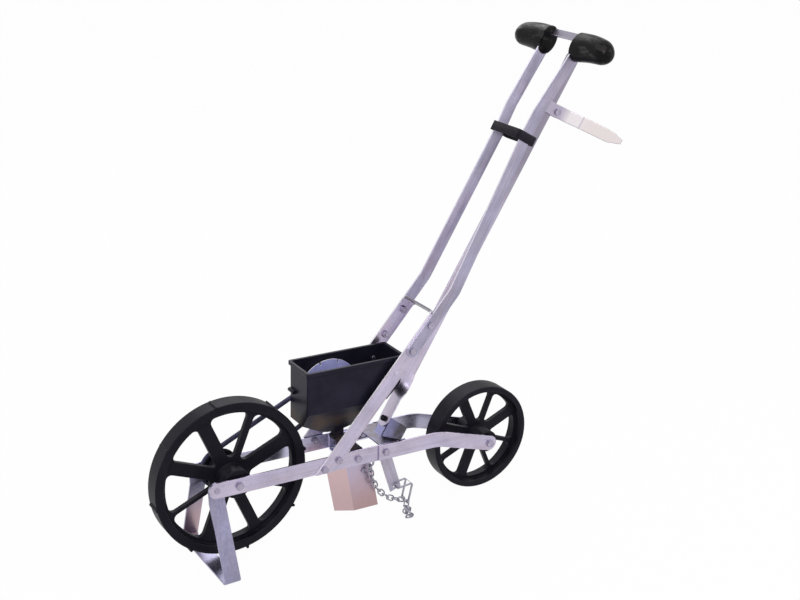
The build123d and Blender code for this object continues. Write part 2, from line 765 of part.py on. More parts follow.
def kickstand_rivets():
    inner = STAND_OUT - BAR_T - FIT_GAP
    rivet = rod(STAND_X, RAIL_Z, RIVET_D / 2, inner, RAIL_OUT)
    rivet += rod(STAND_X, RAIL_Z, RIVET_HEAD_R, inner - RIVET_HEAD_T, inner)
    rivet += rod(STAND_X, RAIL_Z, RIVET_HEAD_R, RAIL_OUT, RAIL_OUT + RIVET_HEAD_T)
    return Compound([rivet, right_hand(rivet)])


def opener_guide():
    """Bent strap from the left rail with a slotted leg inside the opener."""
    leg_mid = SHOE_HALF - SHOE_T - FIT_GAP - BAR_T / 2
    tab_mid = RAIL_IN - BAR_T / 2
    web = GUIDE_WEB_Z + BAR_T / 2
    points = [
        (tab_mid, RAIL_Z + BAR_W / 2 - BAR_T),
        (tab_mid, web),
        (leg_mid, web),
        (leg_mid, GUIDE_LOW_Z),
    ]
    body = Plane.YZ * strip(points, BAR_T, GUIDE_BEND_R)
    body = Pos(GUIDE_REAR, 0, 0) * extrude(body, amount=GUIDE_FRONT - GUIDE_REAR)
    body -= block(GUIDE_LEG_FRONT, GUIDE_FRONT, 0, SHOE_HALF, 0, GUIDE_WEB_Z)
    half = DEPTH_BOLT_D / 2 + FIT_GAP
    low = DEPTH_BOLT_Z - SHOE_DROP - half
    body -= block(DEPTH_BOLT_X - half, DEPTH_BOLT_X + half, 0, SHOE_HALF, low, DEPTH_BOLT_Z + half)
    x, z = HANGER_BOLT
    body -= rod(x, z, BOLT_D / 2 + HOLE_FIT, 0, RAIL_IN)
    return body - Pos(EYE_X, EYE_Y, web) * Cylinder(EYE_SHANK_R + HOLE_FIT, 2 * BAR_T)


def opener_guides():
    left = opener_guide()
    return Compound([left, right_hand(left)])


def opener_shoe():
    """Raked V of folded sheet that opens the furrow."""
    half = SHOE_HALF - SHOE_T / 2
    points = [
        (SHOE_REAR_X, -half),
        (SHOE_CREASE_X, -half),
        (SHOE_NOSE_X, 0),
        (SHOE_CREASE_X, half),
        (SHOE_REAR_X, half),
    ]
    plan = trace(Polyline(*points), line_width=SHOE_T)
    drop = SHOE_TOP_Z - SHOE_LOW_Z
    back = (-sin(radians(SHOE_RAKE)), 0, -cos(radians(SHOE_RAKE)))
    slant = drop / cos(radians(SHOE_RAKE))
    body = extrude(Pos(0, 0, SHOE_TOP_Z) * plan, amount=slant, dir=back)
    return body - rod(DEPTH_BOLT_X, DEPTH_BOLT_Z, DEPTH_BOLT_D / 2, -SHOE_HALF, SHOE_HALF)


def depth_bolt():
    tail = -SHOE_HALF - DEPTH_NUT_T - BOLT_TAIL
    body = rod(DEPTH_BOLT_X, DEPTH_BOLT_Z, DEPTH_BOLT_D / 2, tail, SHOE_HALF)
    return body + rod(DEPTH_BOLT_X, DEPTH_BOLT_Z, DEPTH_BOLT_D, SHOE_HALF, SHOE_HALF + DEPTH_HEAD_T)


def depth_nut():
    face = -SHOE_HALF - DEPTH_NUT_T
    nut = hexagon(DEPTH_BOLT_X, DEPTH_BOLT_Z, DEPTH_NUT_AF, face, -SHOE_HALF)
    return nut - rod(DEPTH_BOLT_X, DEPTH_BOLT_Z, DEPTH_BOLT_D / 2, face, -SHOE_HALF)


def marker_bracket():
    """Saddle between the rails with a back plate bent round the foot of the marker arm."""
    shelf = BRACKET_SHELF_Z
    flat = -(BAR_T / 2 + FIT_GAP + SHEET_T / 2)
    wing = RAIL_IN - SHEET_T / 2
    bends = [(-wing, -BRACKET_BACK), (-BRACKET_FLAT, flat), (BRACKET_FLAT, flat), (wing, -BRACKET_BACK)]
    plane = Plane(
        origin=ARM_PLANE.from_local_coords((0, BRACKET_TOP, 0)),
        x_dir=(0, 1, 0),
        z_dir=-ARM_PLANE.y_dir,
    )
    length = 2 * (ARM_Z - shelf)
    body = extrude(plane * strip(bends, SHEET_T, BRACKET_BEND_R), amount=length)
    back = BRACKET_FRONT - BRACKET_TAB
    body -= block(2 * back, 0, -RAIL_OUT, RAIL_OUT, 0, shelf - SHEET_T / 2)
    ahead = bends + [(wing, BRACKET_TAB), (-wing, BRACKET_TAB)]
    tray = block(back, BRACKET_FRONT, -RAIL_IN, RAIL_IN, shelf - SHEET_T / 2, shelf + SHEET_T / 2)
    body += tray & extrude(plane * Polygon(*ahead, align=None), amount=2 * length)
    low = RAIL_LOW + BRACKET_TAB_UP
    tab = block(back, BRACKET_FRONT, RAIL_IN - SHEET_T, RAIL_IN, low, shelf + SHEET_T / 2)
    tab -= rod(JOINT_BOLT[0], JOINT_BOLT[1], BOLT_D / 2 + HOLE_FIT, 0, RAIL_IN)
    body += tab
    body += right_hand(tab)
    return body - ARM_PLANE * Cylinder(PIVOT_D / 2, BRACKET_TAB)


def marker_pivot_bolt():
    """Pivot bolt along the arm's hinge line with its round head in front."""
    front = BAR_T / 2 + FIT_GAP
    back = -BAR_T / 2 - FIT_GAP - SHEET_T
    align = (Align.CENTER, Align.CENTER, Align.MIN)
    tail = back - NUT_T - BOLT_TAIL
    body = Pos(0, 0, tail) * Cylinder(PIVOT_D / 2, front - tail, align=align)
    return ARM_PLANE * (body + Pos(0, 0, front) * Cylinder(PIVOT_HEAD_R, PIVOT_HEAD_T, align=align))


def marker_pivot_nut():
    back = -BAR_T / 2 - FIT_GAP - SHEET_T
    ring = RegularPolygon(BOLT_AF / 2, 6, major_radius=False) - Circle(PIVOT_D / 2)
    return ARM_PLANE * Pos(0, 0, back) * extrude(ring, amount=-NUT_T)


def marker_arm():
    """Flat bar with a quarter twist above its pivot."""
    align = (Align.CENTER, Align.MIN, Align.CENTER)
    base = Box(BAR_W, ARM_FLAT, BAR_T, align=align) + Cylinder(BAR_W / 2, BAR_T)
    rings = []
    for step in range(TWIST_STEPS + 1):
        share = step / TWIST_STEPS
        plane = Plane(origin=(0, ARM_FLAT + ARM_TWIST * share, 0), x_dir=(1, 0, 0), z_dir=(0, 1, 0))
        rings.append(plane * Rot(0, 0, 90 * share) * Rectangle(BAR_W, BAR_T))
    start = ARM_FLAT + ARM_TWIST
    upper = Pos(0, start, 0) * Box(BAR_T, ARM_LENGTH - start, BAR_W, align=align)
    body = base + loft(rings) + upper
    return ARM_PLANE * (body - Cylinder(PIVOT_D / 2 + RUN_FIT, BAR_W))


def marker_blade():
    """Folded strip that grips the arm, steps aside and trails back to a blunt end."""
    mid = BLADE_FACE - BLADE_T / 2
    wrap = BAR_W / 2 + FIT_GAP + BLADE_T / 2
    fold = [(-mid, -BLADE_BOLT_BACK - BLADE_EDGE), (-mid, wrap), (mid, wrap), (mid, -BLADE_BEND_A)]
    fold += [(mid + BLADE_STEP, -BLADE_BEND_B), (mid + BLADE_LIFT, -BLADE_TIP)]
    body = extrude(Plane.XZ * strip(fold, BLADE_T, BLADE_FOLD_R), amount=BLADE_W, both=True)
    root = BAR_W / 2
    shoulder = BLADE_TIP - BLADE_TAPER
    half = BLADE_W / 2
    slant = tan(radians(BLADE_CANT))
    lean = slant * (shoulder - root)
    rise = slant * (BLADE_TIP - root)
    outline = [
        (half, BAR_W),
        (half, -root),
        (half + lean, -shoulder),
        (rise + BLADE_BLUNT, -BLADE_TIP),
        (rise - BLADE_BLUNT, -BLADE_TIP),
        (lean - half, -shoulder),
        (-half, -root),
        (-half, BAR_W),
    ]
    body &= extrude(Plane.YZ * Polygon(*outline, align=None), amount=BLADE_TIP, both=True)
    hole = Rot(0, 90, 0) * Cylinder(BLADE_BOLT_D / 2 + HOLE_FIT, BAR_W)
    return ARM_PLANE * Pos(0, BLADE_AT, 0) * (body - Pos(0, 0, -BLADE_BOLT_BACK) * hole)


def blade_bolt():
    """Bolt across the folded blade just behind the arm, with its head on the left."""
    tail = BLADE_FACE + BLADE_NUT_T + BOLT_TAIL
    body = Plane.YZ * Circle(BLADE_BOLT_D / 2)
    body = Pos(-tail, 0, 0) * extrude(body, amount=tail + BLADE_FACE)
    head = Pos(BLADE_FACE, 0, 0) * extrude(Plane.YZ * Circle(BLADE_HEAD_R), amount=BLADE_HEAD_T)
    return ARM_PLANE * Pos(0, BLADE_AT, -BLADE_BOLT_BACK) * (body + head)


def blade_nut():
    ring = RegularPolygon(BLADE_NUT_AF / 2, 6, major_radius=False) - Circle(BLADE_BOLT_D / 2)
    nut = Pos(-BLADE_FACE, 0, 0) * extrude(Plane.YZ * ring, amount=-BLADE_NUT_T)
    return ARM_PLANE * Pos(0, BLADE_AT, -BLADE_BOLT_BACK) * nut


def hanger_point(down):
    """Side-view point a distance down the middle of the chain hanger."""
    lean = radians(HANGER_LEAN)
    return JOINT_BOLT[0] - down * sin(lean), JOINT_BOLT[1] - down * cos(lean)


HANGER_HOLE = hanger_point(HANGER_DOWN - HANGER_HOLE_UP)
HOOK_TIP = (HANGER_HOLE[0] - HOOK_BACK, HANGER_HOLE[1] + HOOK_RISE)
HOOK_LOW = (HOOK_TIP[0] + HOOK_FORWARD, HOOK_TIP[1] - HOOK_DROP)


def chain_hanger():
    """Strap from the left joint bolt down to the hole that holds the chain hook."""
    outline = Circle(HANGER_W / 2) + Pos(0, -HANGER_DOWN / 2) * Rectangle(HANGER_W, HANGER_DOWN)
    outline -= Circle(BOLT_D / 2 + HOLE_FIT)
    outline -= Pos(0, HANGER_HOLE_UP - HANGER_DOWN) * Circle(HANGER_HOLE_R)
    place = Pos(JOINT_BOLT[0], HANGER_Y, JOINT_BOLT[1]) * Rot(0, HANGER_LEAN, 0)
    return place * side(outline, -BAR_T / 2, BAR_T / 2)


def hook_line(spare):
    """Side-view line of the chain hook, longer at both ends by a spare length."""
    seat = Vector(HANGER_HOLE[0] - HOOK_SEAT, HANGER_HOLE[1])
    tip = Vector(*HOOK_TIP)
    low = Vector(*HOOK_LOW)
    return [seat + (seat - tip).normalized() * spare, tip, low + (low - tip).normalized() * spare]


def chain_hook():
    """Bent wire bail from the hanger's hole back and down to the chain ends."""
    half = HOOK_IN_W / 2
    outer = strip(hook_line(LINK_WIRE / 2), LINK_WIRE, HOOK_BEND_R)
    inner = strip(hook_line(-LINK_WIRE / 2), 2 * LINK_WIRE, HOOK_BEND_R + LINK_WIRE)
    body = side(outer, -half - LINK_WIRE, half + LINK_WIRE) - side(inner, -half, half)
    return Pos(0, HANGER_Y, 0) * body


def chain_eye():
    """Eye bolt that hangs the chain below the left opener guide."""
    ring_z = GUIDE_WEB_Z - EYE_RING_R - EYE_WIRE_R
    top = GUIDE_WEB_Z + BAR_T
    align = (Align.CENTER, Align.CENTER, Align.MIN)
    low = GUIDE_WEB_Z - EYE_WIRE_R
    body = Pos(0, 0, low) * Cylinder(EYE_SHANK_R, top + EYE_NUT_T + BOLT_TAIL - low, align=align)
    body += Pos(0, 0, top) * extrude(RegularPolygon(EYE_NUT_R, 6), amount=EYE_NUT_T)
    body += Pos(0, 0, ring_z) * Rot(90, 0, 0) * Torus(EYE_RING_R, EYE_WIRE_R)
    return Pos(EYE_X, EYE_Y, 0) * body


def link(inner_length):
    """Closed link with its length along X and its width along Y."""
    outer = Rectangle(inner_length + 2 * LINK_WIRE, LINK_IN_W + 2 * LINK_WIRE)
    outer = chamfer(outer.vertices(), LINK_IN_W / 2)
    inner = Rectangle(inner_length, LINK_IN_W)
    inner = chamfer(inner.vertices(), LINK_IN_W / 4)
    return extrude(outer - inner, amount=LINK_WIRE / 2, both=True)


def drag_chain():
    """Links that sag from the eye to the low end of the chain hook."""
    start = Vector(EYE_X, EYE_Y, GUIDE_WEB_Z - 2 * EYE_RING_R - EYE_WIRE_R + EYE_REST)
    end = Vector(HOOK_LOW[0] - LINK_REST, HANGER_Y - LINK_SIDE, HOOK_LOW[1])
    span = end - start
    points = [start]
    for back, down in SAG_SHARES:
        points.append(start + Vector(back * span.X, back * span.Y, down * span.Z))
    path = Spline(*points, end)
    count = 2 * round(path.length / LINK_PITCH / 2)
    pitch = path.length / count
    links = []
    for step in range(count):
        point = path.position_at((step + 0.5) * pitch, PositionMode.LENGTH)
        along = path.tangent_at((step + 0.5) * pitch, PositionMode.LENGTH)
        across = along.cross(Vector(0, 1, 0)).normalized()
        if step % 2:
            across = along.cross(across)
        place = Plane(origin=point, x_dir=along, z_dir=across)
        links.append(place * link(pitch + LINK_PLAY))
    return Compound(links)


def chain_tail():
    """Free end of the chain, hanging plumb from the hook when parked."""
    tilt = radians(PARK_TILT)
    down = Vector(-sin(tilt), 0, -cos(tilt))
    top = Vector(HOOK_LOW[0], HANGER_Y + LINK_SIDE, HOOK_LOW[1])
    reach = (LINK_PITCH + LINK_PLAY) / 2 - LINK_SWING
    links = []
    for step in range(TAIL_LINKS):
        across = Vector(0, 1, 0)
        if step % 2:
            across = down.cross(across)
        place = Plane(origin=top + down * (reach + LINK_PITCH * step), x_dir=down, z_dir=across)
        links.append(place * link(LINK_PITCH + LINK_PLAY))
    return Compound(links)


PARTS = {
    "left_front_rail": front_rail,
    "right_front_rail": lambda: right_hand(front_rail()),
    "left_rear_rail": rear_rail,
    "right_rear_rail": lambda: right_hand(rear_rail()),
    "lower_handle": lower_handle,
    "left_upper_handle": upper_handle,
    "right_upper_handle": lambda: right_hand(upper_handle()),
    "handle_crossbar": handle_crossbar,
    "left_grip": grip,
    "right_grip": lambda: right_hand(grip()),
    "handle_strap": handle_strap,
    "hopper": hopper,
    "seed_chute": seed_chute,
    "front_wheel": front_wheel,
    "drive_pulley": drive_pulley,
    "rear_wheel": rear_wheel,
    "seed_plate": seed_plate,
    "plate_shaft": plate_shaft,
    "driven_pulley": driven_pulley,
    "drive_belt": drive_belt,
    "front_axle": lambda: axle(0, RAIL_Z, RAIL_OUT),
    "rear_axle": lambda: axle(REAR_X, REAR_Z, LEG_OUT),
    "axle_nuts": axle_nuts,
    "axle_spacers": axle_spacers,
    "rail_bolts": rail_bolts,
    "rail_nuts": rail_nuts,
    "handle_bolts": handle_bolts,
    "handle_nuts": handle_nuts,
    "hopper_screws": hopper_screws,
    "hopper_spacers": hopper_spacers,
    "kickstand": kickstand,
    "kickstand_rivets": kickstand_rivets,
    "opener_guides": opener_guides,
    "opener_shoe": opener_shoe,
    "depth_bolt": depth_bolt,
    "depth_nut": depth_nut,
    "marker_bracket": marker_bracket,
    "marker_pivot_bolt": marker_pivot_bolt,
    "marker_pivot_nut": marker_pivot_nut,
    "marker_arm": marker_arm,
    "marker_blade": marker_blade,
    "blade_bolt": blade_bolt,
    "blade_nut": blade_nut,
    "chain_hanger": chain_hanger,
    "chain_hook": chain_hook,
    "chain_eye": chain_eye,
    "drag_chain": drag_chain,
    "chain_tail": chain_tail,
}


def main():
    os.makedirs("parts", exist_ok=True)
    tilt = Rot(0, -PARK_TILT, 0)
    parked = {}
    for name, make in PARTS.items():
        parked[name] = tilt * make()
    boxes = [shape.bounding_box() for shape in parked.values()]
    x_sum = min(box.min.X for box in boxes) + max(box.max.X for box in boxes)
    y_sum = min(box.min.Y for box in boxes) + max(box.max.Y for box in boxes)
    shift = Pos(-x_sum / 2, -y_sum / 2, -min(box.min.Z for box in boxes))
    for name, shape in parked.items():
        export_step(shift * shape, "parts/" + name + ".step")


main()
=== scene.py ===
"""Looks of a walk-behind seed planter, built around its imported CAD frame."""
import json
from collections import namedtuple
from math import asin, atan2, ceil, cos, hypot, pi, radians, sin, sqrt

import bmesh
import bpy
import numpy as np
from bpy.props import FloatProperty, FloatVectorProperty, PointerProperty
from mathutils import Euler, Matrix, Vector

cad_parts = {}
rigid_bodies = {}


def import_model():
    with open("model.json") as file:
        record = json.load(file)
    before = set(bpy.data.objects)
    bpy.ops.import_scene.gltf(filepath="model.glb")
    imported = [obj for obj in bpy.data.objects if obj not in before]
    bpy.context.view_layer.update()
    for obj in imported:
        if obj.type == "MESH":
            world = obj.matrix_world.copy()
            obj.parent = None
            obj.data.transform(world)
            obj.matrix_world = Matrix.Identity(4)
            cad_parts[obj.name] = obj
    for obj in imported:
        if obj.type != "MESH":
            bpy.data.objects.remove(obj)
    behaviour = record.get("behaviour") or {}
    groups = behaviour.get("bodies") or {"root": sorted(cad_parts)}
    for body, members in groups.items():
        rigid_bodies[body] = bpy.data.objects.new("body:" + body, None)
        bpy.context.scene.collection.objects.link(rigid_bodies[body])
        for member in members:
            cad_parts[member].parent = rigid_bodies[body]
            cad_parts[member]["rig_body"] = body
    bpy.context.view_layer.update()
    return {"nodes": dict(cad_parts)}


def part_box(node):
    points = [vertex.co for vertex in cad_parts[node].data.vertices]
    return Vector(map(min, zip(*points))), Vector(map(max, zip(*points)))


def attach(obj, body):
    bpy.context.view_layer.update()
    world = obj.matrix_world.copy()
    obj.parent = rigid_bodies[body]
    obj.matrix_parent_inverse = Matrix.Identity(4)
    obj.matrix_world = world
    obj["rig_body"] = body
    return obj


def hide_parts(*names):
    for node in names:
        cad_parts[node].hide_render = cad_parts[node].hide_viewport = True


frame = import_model()
NODES = frame["nodes"]

bl_info = {
    "name": "Seed planter",
    "version": (1, 0, 0),
    "blender": (4, 5, 0),
    "location": "View3D > Sidebar > Planter",
    "description": "Finishes and fuller pieces of a walk-behind seed planter",
    "category": "Object",
}

# Lean of each run of bar from level, in degrees, seen from the left.
PARK_TILT = 2.0546
RAIL_LEAN = PARK_TILT
LEG_LEAN = 180 - 49.5 + PARK_TILT
UPPER_LEAN = 180 - 61.4 + PARK_TILT
ARM_LEAN = 180 - 59.33 + PARK_TILT
STAND_LEAN = 90.0
GUIDE_LEAN = 90.0
SHOE_LEAN = 80.0
HANGER_LEAN = 70.0

# Places where a finish changes, in metres: the hopper's floor square to the rails, the legs' inner
# side from the machine's middle, the height from which the marker arm turns dull, the heights
# between which the stand has a painted warm reflection, and where the bracket's wings start and end
# at its sides.
HOPPER_FLOOR = 0.2638
BELLY_FADE = 0.012
LEG_INSIDE = 0.0475
ARM_DULL_ABOVE = 0.54
DULL_FADE = 0.15
WARM_REFLECTION_HEIGHTS = (0.14, 0.06)
WING_REACH = (0.014, 0.034)

# Width, in metres, of the band along the edges that carries painted light: painted shade on the
# blade and bolts, painted highlight on the chain wire and the seed plate.
BLADE_RIM = 0.0024
BOLT_RIM = 0.0012
PLATE_RIM = 0.0006

# Points of a mesh nearer than this, in metres, are one.
SAME_POINT = 1e-6

# Moulded wheels, in metres. The spokes' widths start at the rear upper one and go over the top.
Wheel = namedtuple(
    "Wheel", "tread inner width hub hub_far hub_near window_in window_out web_face spokes"
)
FRONT_WHEEL = Wheel(
    tread=0.155, inner=0.138, width=0.0375, hub=0.029, hub_far=-0.035, hub_near=0.042,
    window_in=0.041, window_out=0.1312, web_face=0.0075,
    spokes=(0.027, 0.013, 0.027, 0.026, 0.007, 0.026, 0.022, 0.010),
)
REAR_WHEEL = Wheel(
    tread=0.113, inner=0.101, width=0.043, hub=0.023, hub_far=-0.045, hub_near=0.045,
    window_in=0.033, window_out=0.0945, web_face=0.0055,
    spokes=(0.021, 0.009, 0.021, 0.021, 0.009, 0.021, 0.008, 0.008),
)
FIRST_SPOKE = radians(156.0 + PARK_TILT)
SPOKE_STEP = pi / 4

# Walls of the wheels, in metres, and the steps of a whole turn.
RIM_SKIN = 0.0045
RIM_FLOOR = 0.0035
RIM_FACE = 0.004
MOULD_CHAMFER = 0.0013
AXLE_BORE = 0.0051
WEB_DEPTH = 0.010
WHEEL_SHARP = radians(32)
TURN_STEPS = 120

# Windows of a wheel: radius of the corners at the hub, outer radius at which the size of the
# corners at the rim holds, and steps of an outline's arc and side.
WINDOW_ROOT = 0.006
WINDOW_CORNER_AT = 0.135
WINDOW_ARC_STEPS = 10
WINDOW_SIDE_STEPS = 24

# Cleats: turn from the spokes, inset from the wheel's faces, depth in the tread and half widths.
CLEAT_TURN = radians(13)
CLEAT_INSET = 0.0018
CLEAT_ROOT = 0.001
CLEAT_HALF_FOOT = 0.0032
CLEAT_HALF_TOP = 0.0018

# Belt: depth, how far it stands out of the solid belt, how much wider it is there, and the power
# that squares its section.
BELT_DEPTH = 0.0095
BELT_PROUD = 0.003
BELT_SWELL = 1.5
BELT_SQUARING = 0.55
BELT_SIDES = 12
BELT_STEP = radians(6)

# Hand grips: middle line in the side view and reach to the side in metres, then half height, half
# depth and drop of the middle in mm, evenly spaced from the inner to the outer end.
GRIP_POINT = (-0.38994, 0.92503)
GRIP_INNER_Y = 0.045
GRIP_OUTER_Y = 0.148
GRIP_AHEAD = 0.002
GRIP_TALL = (29.8, 29.4, 28.3, 27.0, 25.6, 23.6, 20.6)
GRIP_DEEP = (20.0, 20.4, 20.6, 20.6, 20.5, 20.2, 19.8)
GRIP_DROP = (8.4, 7.6, 6.2, 5.8, 6.4, 7.8, 9.8)

# Shares of a grip's length over which its ends are rounded, the share of its size left at an
# end's face, the powers of the rounding, and its steps along and around.
GRIP_INNER_ROUND = 0.022
GRIP_OUTER_ROUND = 0.26
GRIP_FACE = 0.3
GRIP_POWERS = (2.4, 0.42)
GRIP_STEPS = 60
GRIP_SIDES = 40

# Strap: thickness and corner radius in metres, and steps round a corner.
STRAP_THICK = 0.0016
STRAP_CORNER = 0.005
STRAP_STEPS = 6

# Chain: steps along and around the wire of a link.
LINK_STEPS = 32
WIRE_SIDES = 10

# Loose links round the last one of the chain: shift in metres and turns in degrees.
BUNCH = (
    ((0.004, 0.008, -0.001), (62.0, 0.0, 40.0)),
    ((-0.006, -0.004, 0.001), (-48.0, 30.0, 15.0)),
    ((0.002, 0.005, 0.006), (20.0, 55.0, -35.0)),
    ((0.001, 0.012, -0.0095), (0.0, 84.0, 25.0)),
    ((-0.003, 0.006, -0.0075), (12.0, 72.0, -50.0)),
)

# Stage: half width of the floor, its share of plain white where it is seen, where lamps point, and
# the place and size of each lamp, in metres.
FLOOR_HALF = 9.0
FLOOR_GLOW = 0.97
LAMP_AIM = (0, 0, 0.4)
KEY_LAMP = ((1.7, 1.9, 2.6), 1.8)
FILL_LAMP = ((-1.8, 1.6, 1.9), 1.4)
BACK_LAMP = ((-0.6, -2.4, 2.2), 1.6)

# Camera: place in metres, and the picture's right and up.
CAMERA_PLACE = (1.30117, 2.16649, 1.40905)
CAMERA_RIGHT = (-0.85572, 0.51745, -0.00211)
CAMERA_UP = (-0.18485, -0.30186, 0.93528)
SENSOR_WIDTH = 36.0
WHITE = (1, 1, 1, 1)


def colour_prop(name, description, value):
    return FloatVectorProperty(
        name=name, description=description, subtype="COLOR", size=3, min=0.0, max=1.0, default=value
    )


class PlanterColours(bpy.types.PropertyGroup):
    """Colours of the finishes."""

    bar: colour_prop("Flat bar", "Mill finish aluminium bar", (0.53, 0.475, 0.605))
    # Painted light: handle is darker than the frame's bar as painted shade, and far_handle is a
    # brighter lit copy of it for the right upper handle.
    handle: colour_prop("Handles", "Darker aluminium of the upper handles", (0.40, 0.37, 0.485))
    far_handle: colour_prop(
        "Far handle", "Brighter bar of the right upper handle", (0.53, 0.50, 0.625)
    )
    # Painted light: far_rail is a bluer, brighter lit copy of the bar for the right rails.
    far_rail: colour_prop("Far rails", "Bluer bar of the right rails", (0.58, 0.56, 0.72))
    cross: colour_prop("Cross piece", "Dull strip between the grips", (0.31, 0.29, 0.355))
    hanger: colour_prop("Hanger", "Dull bar that holds the chain", (0.43, 0.395, 0.495))
    # Painted light: guide is a brighter, bluer lit copy of the bar for the opener's guides.
    guide: colour_prop("Guides", "Bright guides of the opener", (0.74, 0.72, 0.95))
    # Painted shade: stand is a darker, bluer copy of the frame's bar.
    stand: colour_prop("Stand", "Bluish bar of the kickstand", (0.32, 0.305, 0.44))
    # Painted light on the marker bracket: sheet is the bluish reflection on its standing faces,
    # shelf the greyer tone of its level faces and, darker, the shade at its wings.
    sheet: colour_prop("Sheet", "Bluish bends of the marker bracket", (0.31, 0.31, 0.54))
    shelf: colour_prop("Shelf", "Grey flats of the marker bracket", (0.30, 0.27, 0.32))
    # The opener's colours are painted reflection: shoe is the warm tone low down, shoe_top the
    # lavender at its top and shoe_nose the brighter tone of its nose.
    shoe: colour_prop("Opener", "Worn furrow opener", (0.44, 0.30, 0.31))
    shoe_top: colour_prop("Opener top", "Less worn top of the opener", (0.52, 0.46, 0.62))
    shoe_nose: colour_prop("Opener nose", "Rubbed front of the opener", (0.62, 0.45, 0.47))
    blade: colour_prop("Blade", "Bright marker blade", (0.78, 0.73, 0.755))
    zinc: colour_prop("Zinc", "Plated chain and hook", (0.345, 0.333, 0.387))
    bolt: colour_prop("Bolts", "Plated bolts, nuts and rivets", (0.42, 0.385, 0.49))
    screw: colour_prop("Screws", "Screws through the hopper", (0.60, 0.55, 0.68))
    plate: colour_prop("Seed plate", "Seed plate metal", (0.48, 0.49, 1.0))
    # plate_edge is a painted highlight on the seed plate's edge faces.
    plate_edge: colour_prop("Plate edge", "Sheared edge of the seed plate", (0.93, 0.93, 0.98))
    plastic: colour_prop("Plastic", "Moulded black plastic", (0.007, 0.0065, 0.010))
    hopper: colour_prop("Hopper", "Moulded black plastic of the hopper", (0.012, 0.0115, 0.021))
    # belly is a painted brownish glow and highlight of light through the hopper's well wall.
    belly: colour_prop("Belly", "Thin brownish wall of the hopper's well", (0.060, 0.035, 0.022))
    dust: colour_prop("Dust", "Dust on the plastic", (0.040, 0.037, 0.042))
    shine: colour_prop("Shine", "Tint of light thrown back by the plastic", (0.82, 0.78, 1.0))
    grip: colour_prop("Grip", "Dipped black grip", (0.006, 0.0055, 0.0065))
    rubber: colour_prop("Belt", "Black belt rubber", (0.042, 0.040, 0.082))
    webbing: colour_prop("Strap", "Black woven strap", (0.0075, 0.006, 0.011))


class PlanterSizes(bpy.types.PropertyGroup):
    """Sizes of edges, wheel details, chain links and weave."""

    # The edge break also sets the band of painted highlight along the bars' and bracket's edges and
    # of painted shade along the opener's.
    edge: FloatProperty(
        name="Edge break", description="Radius of worn metal edges", unit="LENGTH",
        default=0.0007, min=0.0, max=0.003,
    )
    # The moulded edge also sets the band of painted highlight along the plastic's edges.
    moulded_edge: FloatProperty(
        name="Moulded edge", description="Radius of moulded plastic edges", unit="LENGTH",
        default=0.0014, min=0.0, max=0.004,
    )
    window_corner: FloatProperty(
        name="Window corner", description="Radius of a wheel window's corners at the rim",
        unit="LENGTH", default=0.012, min=0.001, max=0.02,
    )
    cleat: FloatProperty(
        name="Cleat height", description="Height of the front wheel's cleats over its tread",
        unit="LENGTH", default=0.003, min=0.0, max=0.006,
    )
    twist: FloatProperty(
        name="Link twist", description="Twist from end to end of a chain link", subtype="ANGLE",
        default=radians(36), min=0.0, max=radians(90),
    )
    weave: FloatProperty(
        name="Weave pitch", description="Distance between ribs of the strap", unit="LENGTH",
        default=0.0016, min=0.0005, max=0.005,
    )


class PlanterStudio(bpy.types.PropertyGroup):
    """Light and lens."""

    lens: FloatProperty(
        name="Lens", description="Focal length in mm", default=62.016, min=10.0, max=200.0
    )
    key: FloatProperty(
        name="Key", description="Power of the key light", subtype="POWER", default=38.0, min=0.0
    )
    fill: FloatProperty(
        name="Fill", description="Power of the fill light", subtype="POWER", default=16.0, min=0.0
    )
    world: FloatProperty(
        name="World", description="Strength of the even light", default=0.55, min=0.0
    )
    floor: colour_prop("Floor", "Pale studio floor", (0.90, 0.90, 0.90))


class Socket:
    """A shader socket that can be used in sums."""

    def __init__(self, finish, socket):
        self.finish = finish
        self.socket = socket

    def sum(self, operation, left, right):
        return self.finish.node("ShaderNodeMath", {"operation": operation}, {0: left, 1: right})

    def __add__(self, other):
        return self.sum("ADD", self, other)

    def __radd__(self, other):
        return self.sum("ADD", other, self)

    def __sub__(self, other):
        return self.sum("SUBTRACT", self, other)

    def __rsub__(self, other):
        return self.sum("SUBTRACT", other, self)

    def __mul__(self, other):
        return self.sum("MULTIPLY", self, other)

    def __rmul__(self, other):
        return self.sum("MULTIPLY", other, self)

    def size(self):
        return self.sum("ABSOLUTE", self, 0.0)

    def clamp(self, low, high):
        """Share from 0 to 1 of the way from low to high."""
        return self.finish.node(
            "ShaderNodeMapRange", {}, {0: self, 1: low, 2: high, 3: 0.0, 4: 1.0}
        )


